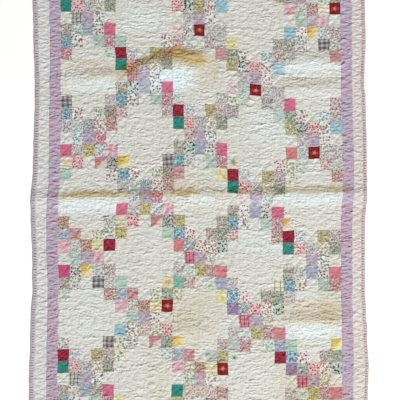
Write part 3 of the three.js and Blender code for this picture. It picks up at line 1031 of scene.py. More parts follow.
class Bench:
    """Lays out the shader nodes of one material."""

    # A Mix node has sockets of one name for each kind of value: these are the numbers of its colours'
    LOW, HIGH, MIXED = 6, 7, 2
    SPECULAR = 0.1  # cloth and floor hardly shine

    def __init__(self, name: str) -> None:
        """Start an empty material.

        Args:
            name: The material's name.
        """
        self.material = bpy.data.materials.new(name)
        self.material.use_nodes = True
        self.tree = self.material.node_tree
        self.tree.nodes.clear()

    def node(self, kind: str, **settings: object) -> bpy.types.Node:
        """Add a node and set its options.

        Args:
            kind: The node's type.
            **settings: Its options by name.

        Returns:
            The node.
        """
        made = self.tree.nodes.new(kind)
        for key, value in settings.items():
            setattr(made, key, value)
        return made

    def feed(self, socket: Socket, value: Value | Sequence[float]) -> None:
        """Link a socket to another, or set its value.

        Args:
            socket: The socket to feed.
            value: Another socket, or the value.
        """
        if isinstance(value, bpy.types.NodeSocket):
            self.tree.links.new(value, socket)
        else:
            socket.default_value = value

    def math(self, operation: str, *values: Value) -> Socket:
        """Work out one number.

        Args:
            operation: What to do.
            *values: The numbers to do it with.

        Returns:
            The result.
        """
        made = self.node("ShaderNodeMath", operation=operation)
        for socket, value in zip(made.inputs, values, strict=False):
            self.feed(socket, value)
        return made.outputs[0]

    def product(self, first: Value, second: Value) -> Socket:
        """Multiply two numbers."""
        return self.math("MULTIPLY", first, second)

    def vector(self, operation: str, *values: Value | Sequence[float], scale: Value | None = None) -> Socket:
        """Work out one vector, or the number that some operations give.

        Args:
            operation: What to do.
            *values: The vectors to do it with.
            scale: The number to scale by, where the operation does that.

        Returns:
            The result.
        """
        made = self.node("ShaderNodeVectorMath", operation=operation)
        for socket, value in zip(made.inputs, values, strict=False):
            self.feed(socket, value)
        if scale is not None:
            self.feed(made.inputs["Scale"], scale)
        return made.outputs["Value" if operation == "LENGTH" else "Vector"]

    def mix(
        self, share: Value, low: Value | Sequence[float], high: Value | Sequence[float], blend: str = "MIX"
    ) -> Socket:
        """Blend two colours.

        Args:
            share: How much of the second one shows.
            low: The first colour.
            high: The second.
            blend: How the second is laid on the first.

        Returns:
            The blend.
        """
        made = self.node("ShaderNodeMix", data_type="RGBA", blend_type=blend)
        self.feed(made.inputs["Factor"], share)
        self.feed(made.inputs[self.LOW], low)
        self.feed(made.inputs[self.HIGH], high)
        return made.outputs[self.MIXED]

    def multiply(self, share: Value, low: Socket, high: Value | Sequence[float]) -> Socket:
        """Darken a colour by another."""
        return self.mix(share, low, high, "MULTIPLY")

    def attribute(self, name: str, output: str = "Color") -> Socket:
        """Read a value that the mesh carries."""
        return self.node("ShaderNodeAttribute", attribute_name=name).outputs[output]

    def number(self, name: str) -> Socket:
        """Read a number that the mesh carries."""
        return self.attribute(name, "Fac")

    def uv(self, name: str) -> Socket:
        """Read one of the mesh's UV maps."""
        return self.node("ShaderNodeUVMap", uv_map=name).outputs["UV"]

    def here(self) -> Socket:
        """Give each point's place on the quilt or the floor, in metres."""
        return self.node("ShaderNodeTexCoord").outputs["Object"]

    def split(self, vector: Socket) -> tuple[Socket, Socket]:
        """Give a vector's first two parts.

        Args:
            vector: The vector.

        Returns:
            Its x and its y.
        """
        made = self.node("ShaderNodeSeparateXYZ")
        self.feed(made.inputs[0], vector)
        return made.outputs[0], made.outputs[1]

    def ramp(self, value: Socket, low: float, high: float) -> Socket:
        """Give 0 below one value and 1 above another, eased between them.

        Args:
            value: What to read.
            low: Where the result is still 0.
            high: Where it has become 1, which may be below the other.

        Returns:
            The eased share.
        """
        made = self.node("ShaderNodeMapRange", interpolation_type="SMOOTHSTEP")
        self.feed(made.inputs["Value"], value)
        made.inputs["From Min"].default_value = low
        made.inputs["From Max"].default_value = high
        return made.outputs[0]

    def to_whole(self, value: Socket) -> Socket:
        """Give how far a number is from the nearest whole one."""
        return self.math("PINGPONG", value, 0.5)

    def texture(self, vector: Socket, scale: float, detail: float = 2.0) -> bpy.types.Node:
        """Add smooth noise.

        Args:
            vector: The places to read it at.
            scale: How many of its cells fit in one unit.
            detail: How many finer layers it has.

        Returns:
            The noise's node.
        """
        made = self.node("ShaderNodeTexNoise")
        self.feed(made.inputs["Vector"], vector)
        made.inputs["Scale"].default_value = scale
        made.inputs["Detail"].default_value = detail
        return made

    def noise(self, vector: Socket, scale: float, detail: float = 1.0) -> Socket:
        """Give smooth noise from 0 to 1."""
        return self.texture(vector, scale, detail).outputs[0]

    def patches(self, vector: Socket, scale: float, low: float, high: float, detail: float = 1.0) -> Socket:
        """Give uneven patches, as the noise rises from one level to another."""
        return self.ramp(self.noise(vector, scale, detail), low, high)

    def swirled(self, vector: Socket, along: Socket, scale: float, reach: float) -> Socket:
        """Bend a pattern.

        Args:
            vector: The pattern's places.
            along: The places that the bends follow.
            scale: How many bends fit in one unit.
            reach: How far they move the pattern.

        Returns:
            The bent places.
        """
        bends = self.texture(along, scale).outputs["Color"]
        return self.vector("ADD", vector, self.vector("SCALE", bends, scale=reach))

    def cells(self, vector: Socket, scale: float, spread: float) -> tuple[Socket, Socket]:
        """Scatter cells.

        Args:
            vector: The places to read them at.
            scale: How many fit in one unit.
            spread: How unevenly they lie, from 0 to 1.

        Returns:
            The distance from the middle of the nearest cell, and a random colour for that cell.
        """
        made = self.node("ShaderNodeTexVoronoi", voronoi_dimensions="2D")
        self.feed(made.inputs["Vector"], vector)
        made.inputs["Scale"].default_value = scale
        made.inputs["Randomness"].default_value = spread
        return made.outputs["Distance"], made.outputs["Color"]

    def shifted(self, vector: Socket, x: float, y: float) -> Socket:
        """Move a pattern aside."""
        return self.vector("ADD", vector, (x, y, 0.0))

    def surface(self, colour: Socket, roughness: Value) -> bpy.types.Node:
        """Finish the material with a dull surface.

        Args:
            colour: Its colour.
            roughness: How rough it is.

        Returns:
            The shader, for more settings.
        """
        shader = self.node("ShaderNodeBsdfPrincipled")
        self.feed(shader.inputs["Base Color"], colour)
        self.feed(shader.inputs["Roughness"], roughness)
        shader.inputs["Specular IOR Level"].default_value = self.SPECULAR
        output = self.node("ShaderNodeOutputMaterial")
        self.feed(output.inputs["Surface"], shader.outputs[0])
        return shader


@dataclass(frozen=True)
class PrintTable:
    """Draws a print in its three colours. Each print has the method of its name.

    Places are counted in squares, and scaled ones in repeats of the print.
    """

    bench: Bench
    place: Socket
    scaled: Socket
    ground: Socket
    ink: Socket
    accent: Socket

    def draw(self, pattern: Print) -> Socket:
        """Draw one of the prints."""
        return getattr(self, pattern.value)()

    def layered(self, accents: Value, inks: Value) -> Socket:
        """Lay the accent on the ground, and the ink on both.

        Args:
            accents: Where the accent is.
            inks: Where the ink is.

        Returns:
            The print's colour.
        """
        return self.bench.mix(inks, self.bench.mix(accents, self.ground, self.accent), self.ink)

    def plain(self) -> Socket:
        """Draw solid dyed cotton, a little uneven.

        Returns:
            The print's colour.
        """
        ink_share = 0.06
        worn = self.bench.patches(self.place, scale=6.0, low=0.4, high=0.62)
        return self.bench.mix(self.bench.product(worn, ink_share), self.ground, self.ink)

    def drift(self) -> Socket:
        """Draw a solid dyed strip, whose colour drifts slowly between the ink and the accent.

        Returns:
            The print's colour.
        """
        warm = self.bench.patches(self.place, scale=0.22, low=0.5, high=0.64)
        cool = self.bench.patches(self.place, scale=0.22, low=0.5, high=0.36)
        return self.layered(cool, warm)

    def speckle(self) -> Socket:
        """Draw a dense allover print of tiny marks in two inks.

        Returns:
            The print's colour.
        """
        marks = self.bench.patches(self.scaled, scale=1.25, low=0.52, high=0.6)
        moved = self.bench.shifted(self.scaled, 17.0, 5.0)
        others = self.bench.patches(moved, scale=1.0, low=0.52, high=0.6)
        return self.layered(others, marks)

    def dot(self) -> Socket:
        """Draw scattered round dots, most of one ink and some of the other.

        Returns:
            The print's colour.
        """
        distance, chance = self.bench.cells(self.scaled, scale=1.0, spread=0.75)
        pick, _ = self.bench.split(chance)
        dots = self.bench.mix(self.bench.ramp(pick, low=0.55, high=0.6), self.ink, self.accent)
        return self.bench.mix(self.bench.ramp(distance, low=0.32, high=0.19), self.ground, dots)

    def sprig(self) -> Socket:
        """Draw small scattered flowers with leaves between them.

        Returns:
            The print's colour.
        """
        bent = self.bench.swirled(self.scaled, self.scaled, scale=3.0, reach=0.45)
        petals, _ = self.bench.cells(bent, scale=1.0, spread=0.8)
        leaves, _ = self.bench.cells(self.bench.shifted(bent, 3.3, 8.1), scale=1.7, spread=1.0)
        flowers = self.bench.ramp(petals, low=0.34, high=0.24)
        between = self.bench.ramp(leaves, low=0.26, high=0.16)
        return self.layered(between, flowers)

    def blot(self) -> Socket:
        """Draw bold uneven shapes in two inks.

        Returns:
            The print's colour.
        """
        shapes = self.bench.patches(self.scaled, scale=1.3, low=0.55, high=0.6)
        moved = self.bench.shifted(self.scaled, 9.0, 31.0)
        others = self.bench.patches(moved, scale=1.1, low=0.55, high=0.6)
        return self.layered(others, shapes)

    def half(self) -> Socket:
        """Draw two uneven halves of one large print, with the ground as a band between them.

        Returns:
            The print's colour.
        """
        inside = self.bench.vector("FRACTION", self.place)
        x, y = self.bench.split(self.bench.swirled(inside, self.place, scale=2.2, reach=0.5))
        across = self.bench.math("SUBTRACT", x, y)
        near = self.bench.mix(self.bench.ramp(across, low=-0.28, high=-0.08), self.accent, self.ground)
        return self.bench.mix(self.bench.ramp(across, low=0.02, high=0.2), near, self.ink)

    def bloom(self) -> Socket:
        """Draw one open flower in the middle of the square, on two small leaves.

        Returns:
            The print's colour.
        """
        bench = self.bench
        middle, leaf_stretch, leaf_share = (0.52, 0.5, 0.0), (1.0, 2.6, 0.0), 0.45
        centred = bench.vector("SUBTRACT", bench.vector("FRACTION", self.place), middle)
        x, y = bench.split(centred)
        reach = bench.vector("LENGTH", centred)
        petal_count, petal_depth, petal_reach = 5.0, 0.05, 0.19
        turns = bench.product(bench.math("ARCTAN2", y, x), petal_count)
        rim = bench.math("MULTIPLY_ADD", bench.math("COSINE", turns), petal_depth, petal_reach)
        petals = bench.ramp(bench.math("SUBTRACT", rim, reach), low=-0.02, high=0.02)
        leaf = bench.vector("LENGTH", bench.vector("MULTIPLY", centred, leaf_stretch))
        leaves = bench.product(bench.ramp(leaf, low=0.4, high=0.34), leaf_share)
        colour = bench.mix(petals, bench.mix(leaves, self.ground, self.accent), self.accent)
        return bench.mix(bench.ramp(reach, low=0.12, high=0.08), colour, self.ink)

    def check(self) -> Socket:
        """Draw a woven check: one band gives the accent, and two that cross give the ink.

        Returns:
            The print's colour.
        """
        bench = self.bench
        bands = [bench.ramp(bench.to_whole(part), low=0.22, high=0.28) for part in bench.split(self.scaled)]
        return self.layered(bench.math("MAXIMUM", *bands), bench.product(*bands))

    def pane(self) -> Socket:
        """Draw thin woven lines that cross in window panes, the ink upright and the accent level.

        Returns:
            The print's colour.
        """
        parts = self.bench.split(self.bench.shifted(self.scaled, 0.5, 0.5))
        upright, level = (self.bench.ramp(self.bench.to_whole(part), low=0.14, high=0.07) for part in parts)
        return self.layered(level, upright)

    def stripe(self) -> Socket:
        """Draw woven stripes of two inks, turned as the square was cut.

        Returns:
            The print's colour.
        """
        turned = self.bench.node("ShaderNodeVectorRotate", rotation_type="Z_AXIS")
        self.bench.feed(turned.inputs["Vector"], self.scaled)
        self.bench.feed(turned.inputs["Angle"], self.bench.number("turn"))
        across, _ = self.bench.split(turned.outputs[0])
        wide = self.bench.ramp(self.bench.to_whole(across), low=0.28, high=0.34)
        thin = self.bench.ramp(self.bench.to_whole(across), low=0.12, high=0.07)
        return self.layered(thin, wide)

    def tick(self) -> Socket:
        """Draw the binding's small check, of which one row of dark ticks shows along the rolled edge.

        Returns:
            The print's colour.
        """
        bench = self.bench
        row_place, tick_share = 0.6, 0.85
        inward, onward = bench.split(self.place)
        bar = bench.ramp(bench.to_whole(onward), low=0.25, high=0.15)
        off_row = bench.math("ABSOLUTE", bench.math("SUBTRACT", inward, row_place))
        row = bench.ramp(off_row, low=0.32, high=0.2)
        worn = bench.patches(self.place, scale=0.9, low=0.32, high=0.5, detail=2.0)
        ticks = bench.product(bench.product(bench.product(bar, row), worn), tick_share)
        rolled = bench.mix(bench.ramp(inward, low=0.2, high=0.45), self.accent, self.ground)
        return bench.mix(ticks, rolled, self.ink)


@dataclass(frozen=True)
class PrintedCotton:
    """The finish of one kind of printed cotton, whose colours each face of the mesh carries."""

    pattern: Print
    # Colours that are laid on the print, and how strongly: wear, painted light, painted shade and thread
    faded: Colour = (0.955, 0.95, 0.935, 1.0)
    mottled: Colour = (1.0, 0.985, 0.96, 1.0)
    # Painted cool light on the lit slopes of pale cottons: its colour and its strongest share
    bleached: str = "#d6e2e6"
    painted_light_share: float = 0.85
    # The colour of the painted warm shade on the shaded slopes
    painted_shade_colour: str = "#ebd09a"
    # Painted shade in the stitched channels: its colour and its share
    line_shade_colour: Colour = (0.5, 0.48, 0.5, 1.0)
    line_shade_share: float = 0.6
    thread: str = "#e6e2d6"
    thread_share: float = 0.06
    # Cells of the fading and the mottling to a metre
    fade_scale: float = 9.0
    mottle_scale: float = 75.0
    # Stitches: half a line's width in line spacings, how much of that is whole, and stitches to a square
    line_half_width: float = 0.026
    line_core: float = 0.6
    stitches_along: float = 7.3
    stitches_across: float = 2.9
    # Weave and fluff
    weave_count: float = 46.0
    weave_depth: float = 0.00018
    weave_strength: float = 0.5
    fluff_scale: float = 900.0
    thread_height: float = 1.5
    # Shine
    roughness: float = 0.86
    faded_roughness: float = 0.08
    sheen: float = 0.03
    sheen_roughness: float = 0.6

    def material(self) -> bpy.types.Material:
        """Build the material.

        Returns:
            The material, named for its print.
        """
        bench = Bench(f"cotton_{self.pattern.value}")
        place = bench.uv("squares")
        scaled = bench.vector("SCALE", place, scale=bench.number("repeats"))
        colours = (bench.attribute(name) for name in Cotton.COLOURS)
        colour = PrintTable(bench, place, scaled, *colours).draw(self.pattern)
        here = bench.here()
        fading = bench.patches(here, self.fade_scale, low=0.3, high=0.75, detail=3.0)
        line, thread = self._stitches(bench, place)
        colour = self._painted_light_and_shade(bench, self._worn(bench, colour, here, fading))
        # Paint shade along the stitched lines
        colour = bench.multiply(bench.product(line, self.line_shade_share), colour, self.line_shade_colour)
        colour = bench.mix(bench.product(thread, self.thread_share), colour, linear_colour(self.thread))
        rough = bench.math("MULTIPLY_ADD", fading, self.faded_roughness, self.roughness)
        shader = bench.surface(colour, rough)
        shader.inputs["Sheen Weight"].default_value = self.sheen
        shader.inputs["Sheen Roughness"].default_value = self.sheen_roughness
        bench.feed(shader.inputs["Normal"], self._weave(bench, place, here, thread))
        return bench.material

    def _worn(self, bench: Bench, colour: Socket, here: Socket, fading: Socket) -> Socket:
        """Fade the cloth in broad patches and mottle it in small ones.

        Args:
            bench: The material's bench.
            colour: The print.
            here: The places on the quilt.
            fading: Where it has faded.

        Returns:
            The worn colour.
        """
        colour = bench.multiply(fading, colour, self.faded)
        mottling = bench.patches(here, self.mottle_scale, low=0.35, high=0.65)
        return bench.mix(mottling, bench.multiply(1.0, colour, self.mottled), colour)

    def _painted_light_and_shade(self, bench: Bench, colour: Socket) -> Socket:
        """Paint cool light on the pale cottons and warm shade on all of them, where the mesh says.

        Args:
            bench: The material's bench.
            colour: The worn colour.

        Returns:
            The aged colour.
        """
        _, green = bench.split(colour)
        # Painted cool light on the pale cottons only, then painted warm shade on all of them
        pale = bench.product(bench.ramp(green, low=0.1, high=0.6), self.painted_light_share)
        cool = bench.product(bench.number("bleached"), pale)
        colour = bench.mix(cool, colour, linear_colour(self.bleached))
        return bench.multiply(bench.number("golden"), colour, linear_colour(self.painted_shade_colour))

    def _stitches(self, bench: Bench, place: Socket) -> tuple[Socket, Socket]:
        """Find the stitched lines and the hand stitches along them.

        Args:
            bench: The material's bench.
            place: The places on the squares.

        Returns:
            Where the lines are, and where thread shows on them.
        """
        near = bench.math("MINIMUM", *(bench.to_whole(part) for part in bench.split(bench.uv("quilting"))))
        line = bench.ramp(near, self.line_half_width, self.line_half_width * self.line_core)
        across, along = bench.split(place)
        aside = bench.product(across, self.stitches_across)
        run = bench.math("MULTIPLY_ADD", along, self.stitches_along, aside)
        dash = bench.ramp(bench.to_whole(run), low=0.2, high=0.26)
        return line, bench.product(line, dash)

    def _weave(self, bench: Bench, place: Socket, here: Socket, thread: Socket) -> Socket:
        """Raise the weave, its fluff and the stitches' thread a little.

        Args:
            bench: The material's bench.
            place: The places on the squares.
            here: The places on the quilt.
            thread: Where thread shows.

        Returns:
            The surface's direction.
        """
        rate = self.weave_count * 2 * math.pi
        warp, weft = (bench.math("SINE", bench.product(part, rate)) for part in bench.split(place))
        weave = bench.math("ADD", bench.product(warp, weft), bench.noise(here, self.fluff_scale))
        bump = bench.node("ShaderNodeBump")
        bump.inputs["Strength"].default_value = self.weave_strength
        bump.inputs["Distance"].default_value = self.weave_depth
        bench.feed(bump.inputs["Height"], bench.math("MULTIPLY_ADD", thread, self.thread_height, weave))
        return bump.outputs["Normal"]


class ScrapBag:
    """Gives each print its material, made once."""

    def __init__(self) -> None:
        """Make the materials of all the prints."""
        self.materials = {pattern: PrintedCotton(pattern).material() for pattern in Print}

    def dress(self, piece: bpy.types.Object, scraps: Sequence[Scrap]) -> None:
        """Give every face of a piece its cotton.

        Args:
            piece: The piece.
            scraps: One cotton for each face, in the mesh's order.
        """
        mesh = piece.data
        used = sorted({scrap.value.pattern for scrap in scraps}, key=lambda p: p.value)
        for pattern in used:
            mesh.materials.append(self.materials[pattern])
        kinds = list(Scrap)
        index = np.array([kinds.index(scrap) for scrap in scraps])
        slots = np.array([used.index(k.value.pattern) if k.value.pattern in used else 0 for k in kinds])
        mesh.polygons.foreach_set("material_index", slots[index].astype(np.int32))
        for name in Cotton.COLOURS:
            colours = np.array([kind.value.washed(name) for kind in kinds])
            carried = mesh.attributes.new(name, "FLOAT_COLOR", "FACE")
            carried.data.foreach_set("color", colours[index].reshape(-1).astype(np.float32))
        for name in Cotton.NUMBERS:
            numbers = np.array([getattr(kind.value, name) for kind in kinds])
            carried = mesh.attributes.new(name, "FLOAT", "FACE")
            carried.data.foreach_set("value", numbers[index].astype(np.float32))


# --------------------------------------------------------------------------------------------------------
# Pieces
# --------------------------------------------------------------------------------------------------------


@dataclass
class QuiltPiece:
    """One sewn piece between two seam lines each way."""

    name: str
    slot: str
    across: Steps
    along: Steps
    plan: QuiltPlan
    relief: Relief
    bag: ScrapBag
    draw: float = 1.0
    gather: float = 1.0
    crisp_angle: float = 62.0  # between faces that meet in an edge and not in a soft bend

    def lines(self, u: Array, v: Array) -> tuple[Array, Array]:
        """Give the two fields of stitched lines, none unless a kind of piece has them."""
        return np.full_like(u, UNSTITCHED), np.full_like(v, UNSTITCHED)

    def seams(self, x: Array, y: Array, u: Array, v: Array) -> Array:
        """Give each point's distance from the nearest seam, in millimetres."""
        return self.rim(x, y)

    def slant(self) -> Array | float:
        """Give how far the puckers lean aside."""
        return 0.0

    def rim(self, x: Array, y: Array) -> Array:
        """Give each point's distance from the piece's edge, in millimetres.

        Args:
            x: Places across.
            y: Places along.

        Returns:
            The distance from the nearest of the four edges.
        """
        sides = np.minimum(np.abs(x - x[:, :1]), np.abs(x - x[:, -1:]))
        ends = np.minimum(np.abs(y - y[:1]), np.abs(y - y[-1:]))
        return np.minimum(sides, ends)

    def heights(self, x: Array, y: Array, u: Array, v: Array) -> Array:
        """Give the top's height at each point.

        Args:
            x: Places across.
            y: Places along.
            u: Places across that the print follows.
            v: Places along that it follows.

        Returns:
            The height over the floor.
        """
        seams = self.seams(x, y, u, v)
        sewn = Sewn(self.lines(u, v), seams, self.rim(x, y), self.slant(), self.draw, self.gather)
        return self.relief.top(x, y, sewn)

    def squares(self, x: Array, y: Array) -> tuple[Array, Array]:
        """Give the places that prints follow, counted in squares."""
        across, along = np.meshgrid(self.across.at, self.along.at)
        return (across - CENTRE_SEAM) * PATCHES, (along - CENTRE_SEAM) * PATCHES

    def face_scraps(self) -> list[Scrap]:
        """Give the cotton of each face of the top, row by row."""
        raise NotImplementedError

    def back(self) -> Scrap:
        """Give the cotton of the underside and the walls."""
        return Scrap.cream

    def make(self) -> bpy.types.Object:
        """Build the piece, dress it and enter it in the frame.

        Returns:
            The finished piece.
        """
        x, y = self.plan.points(self.across.at, self.along.at)
        u, v = self.squares(x, y)
        rows, columns = self.along.base(), self.across.base()
        under = piled(FOLDS, x, y) * self.relief.lift_share
        sewn_x, sewn_y = self.relief.wandered(x, y)
        piece = SheetMesh(self.name, sewn_x, sewn_y, self.heights(x, y, u, v), under, rows, columns).build()
        # The shares of painted shade and painted light at each point
        tints = (piled(table, *self.relief.blurred(x, y)) for table in (PAINTED_SHADE_TINTS, PAINTED_LIGHT_TINTS))
        grid = np.ix_(rows, columns)
        self._carry(piece.data, [np.append(f, f[grid]) for f in (u, v, *self.lines(u, v), *tints)])
        tops = self.face_scraps()
        rest = len(piece.data.polygons) - len(tops)
        self.bag.dress(piece, [*tops, *[self.back()] * rest])
        self._smooth(piece)
        self._enter(piece)
        LOG.info("%s: %d faces", self.name, len(piece.data.polygons))
        return piece

    @staticmethod
    def _carry(mesh: bpy.types.Mesh, fields: list[Array]) -> None:
        """Store the UV maps, the painted shade and the painted light on a mesh.

        Args:
            mesh: The piece's mesh.
            fields: For each point, its place on the squares, its two fields of lines, and its shares of
                painted shade and painted light.
        """
        corners = np.empty(len(mesh.loops), np.int32)
        mesh.loops.foreach_get("vertex_index", corners)
        for name, pair in (("squares", fields[:2]), ("quilting", fields[2:4])):
            places = np.stack(pair, axis=-1)[corners]
            mesh.uv_layers.new(name=name).data.foreach_set("uv", places.reshape(-1).astype(np.float32))
        for name, share in zip(("golden", "bleached"), fields[4:], strict=True):
            carried = mesh.attributes.new(name, "FLOAT", "POINT")
            carried.data.foreach_set("value", np.clip(share, 0, 1).astype(np.float32))

    def _smooth(self, piece: bpy.types.Object) -> None:
        """Shade the cloth smooth and keep its rims crisp.

        Args:
            piece: The piece.
        """
        bpy.ops.object.select_all(action="DESELECT")
        piece.select_set(True)
        bpy.context.view_layer.objects.active = piece
        bpy.ops.object.shade_smooth_by_angle(angle=math.radians(self.crisp_angle))
        piece.select_set(False)

    def _enter(self, piece: bpy.types.Object) -> None:
        """Args:
            piece: The finished piece.
        """
        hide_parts(self.name)
        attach(piece, "root")


@dataclass
class Block(QuiltPiece):
    """One block of five by five squares."""

    row: int = 0
    column: int = 0

    def square_scraps(self) -> list[list[Scrap]]:
        """Give the cottons of the squares, from the head and the left."""
        raise NotImplementedError

    def marks(self) -> Sequence[int]:
        """Give the seams that cross the block, counted in squares from its side."""
        return range(PATCHES + 1)

    def seams(self, x: Array, y: Array, u: Array, v: Array) -> Array:
        """Give each point's distance from the nearest seam, in millimetres.

        Args:
            x: Places across.
            y: Places along; not used.
            u: Places across, in squares.
            v: Places along, in squares.

        Returns:
            The distance.
        """
        size = (x[0, -1] - x[0, 0]) / PATCHES
        own = [places - round(places.min()) for places in (u, v)]
        near = [np.min([np.abs(places - mark) for mark in self.marks()], axis=0) for places in own]
        return np.minimum(*near) * size

    def face_scraps(self) -> list[Scrap]:
        """Give the cotton of each face of the top, row by row from the foot.

        Returns:
            One cotton for each face.
        """
        squares = self.square_scraps()[::-1]
        columns = [c * PATCHES // self.across.count() for c in range(self.across.count())]
        rows = [r * PATCHES // self.along.count() for r in range(self.along.count())]
        return [squares[r][c] for r in rows for c in columns]


@dataclass
class PiecedBlock(Block):
    """A scrappy block, quilted along both diagonals of its squares."""

    letter: str = "A"

    def square_scraps(self) -> list[list[Scrap]]:
        """Read the block's chart and the maker's swaps.

        Returns:
            The cottons of the squares, from the head and the left.
        """
        chart = PIECED_BLOCKS[self.letter].strip().split("\n")
        squares = [[Scrap[name] for name in line.split()] for line in chart]
        for (r, c), scrap in SWAPPED_SQUARES.get((self.row, self.column), {}).items():
            squares[r][c] = scrap
        return squares

    def lines(self, u: Array, v: Array) -> tuple[Array, Array]:
        """Give the crossed diagonals through the squares' corners."""
        return u + v, u - v


@dataclass
class PlainBlock(Block):
    """A cream block with a print square in each corner, quilted in rings."""

    ring_rate: float = 1.42
    draw: float = 0.35

    def marks(self) -> Sequence[int]:
        """Give the seams round the four corner squares."""
        return (0, 1, PATCHES - 1, PATCHES)

    def square_scraps(self) -> list[list[Scrap]]:
        """Put the four corner squares on cream.

        Returns:
            The cottons of the squares, from the head and the left.
        """
        squares = [[Scrap.cream] * PATCHES for _ in range(PATCHES)]
        corners = ((0, 0), (0, -1), (-1, 0), (-1, -1))
        for (r, c), name in zip(corners, PLAIN_CORNERS[(self.row, self.column)].split(), strict=True):
            squares[r][c] = Scrap[name]
        return squares

    def lines(self, u: Array, v: Array) -> tuple[Array, Array]:
        """Give rings round the block's middle.

        Args:
            u: Places across, in squares.
            v: Places along, in squares.

        Returns:
            The rings, and a field without lines.
        """
        middle_u, middle_v = ((places.min() + places.max()) / 2 for places in (u, v))
        rings = np.hypot(u - middle_u, v - middle_v) * self.ring_rate
        return rings, np.full_like(u, UNSTITCHED)


@dataclass
class Border(QuiltPiece):
    """A plain strip, quilted with one zigzag."""

    scrap: Scrap = Scrap.cream
    runs_across: bool = False
    half_period: float = 18.2
    lean: float = 9.0
    draw: float = 0.85
    print_size: float = 50.0

    def strip_places(self) -> tuple[Array, Array]:
        """Give places across the strip from 0 to 1, and along it in half periods of the zigzag.

        Returns:
            Both places at each point.
        """
        x, y = self.plan.points(self.across.at, self.along.at)
        if self.runs_across:
            return (y - y[:1]) / (y[-1:] - y[:1]), x / self.half_period
        return (x - x[:, :1]) / (x[:, -1:] - x[:, :1]), y / self.half_period

    def lines(self, u: Array, v: Array) -> tuple[Array, Array]:
        """Give the zigzag between the strip's two sides."""
        aside, onward = self.strip_places()
        return (onward + aside) / 2, (onward - aside) / 2

    def slant(self) -> Array | float:
        """Fan the puckers between the points of the zigzag."""
        aside, onward = self.strip_places()
        return self.lean * (aside - 0.5) * np.sin(onward * math.pi)

    def squares(self, x: Array, y: Array) -> tuple[Array, Array]:
        """Give the places that prints follow, counted in the size of a patch."""
        return x / self.print_size, y / self.print_size

    def face_scraps(self) -> list[Scrap]:
        """Use one cotton all over."""
        return [self.scrap] * (self.across.count() * self.along.count())


@dataclass
class Binding(Border):
    """A strip of small check rolled over the quilt's edge."""

    outer_first: bool = True
    edge_height: float = 2.6
    crown: float = 7.0
    seam_height: float = 4.4
    crown_at: float = 0.45
    tick_spacing: float = 12.0
    # Counted along the quilt's edge in millimetres, and across the strip in strip widths
    ripples: Layer = Layer(11, 1 / 0.7, 1.4, 0, 3.3)

    def lines(self, u: Array, v: Array) -> tuple[Array, Array]:
        """Leave the binding unquilted."""
        return np.full_like(u, UNSTITCHED), np.full_like(v, UNSTITCHED)

    def inward(self) -> Array:
        """Give places across the strip, from 0 at the outer edge to 1 at the seam."""
        aside, _ = self.strip_places()
        return aside if self.outer_first else 1 - aside

    def squares(self, x: Array, y: Array) -> tuple[Array, Array]:
        """Give places inward from the outer edge, and along the strip in ticks."""
        return self.inward(), (x if self.runs_across else y) / self.tick_spacing

    def back(self) -> Scrap:
        """Wrap the check round to the back."""
        return self.scrap

    def heights(self, x: Array, y: Array, u: Array, v: Array) -> Array:
        """Roll the strip from its outer edge over its crown down to its seam.

        Args:
            x: Places across the quilt.
            y: Places along it.
            u: Places inward from the outer edge.
            v: Places along the strip, in ticks; not used.

        Returns:
            The height over the floor.
        """
        outer = np.clip(u / self.crown_at, 0, 1)
        inner = np.clip((u - self.crown_at) / (1 - self.crown_at), 0, 1)
        roll = self.edge_height + (self.crown - self.edge_height) * np.sqrt(1 - (1 - outer) ** 2)
        roll -= (self.crown - self.seam_height) * inner**2
        ripple = self.ripples.of(self.relief.fine, x if self.runs_across else y, u)
        return piled(FOLDS, x, y) + roll + ripple * np.sqrt(outer)


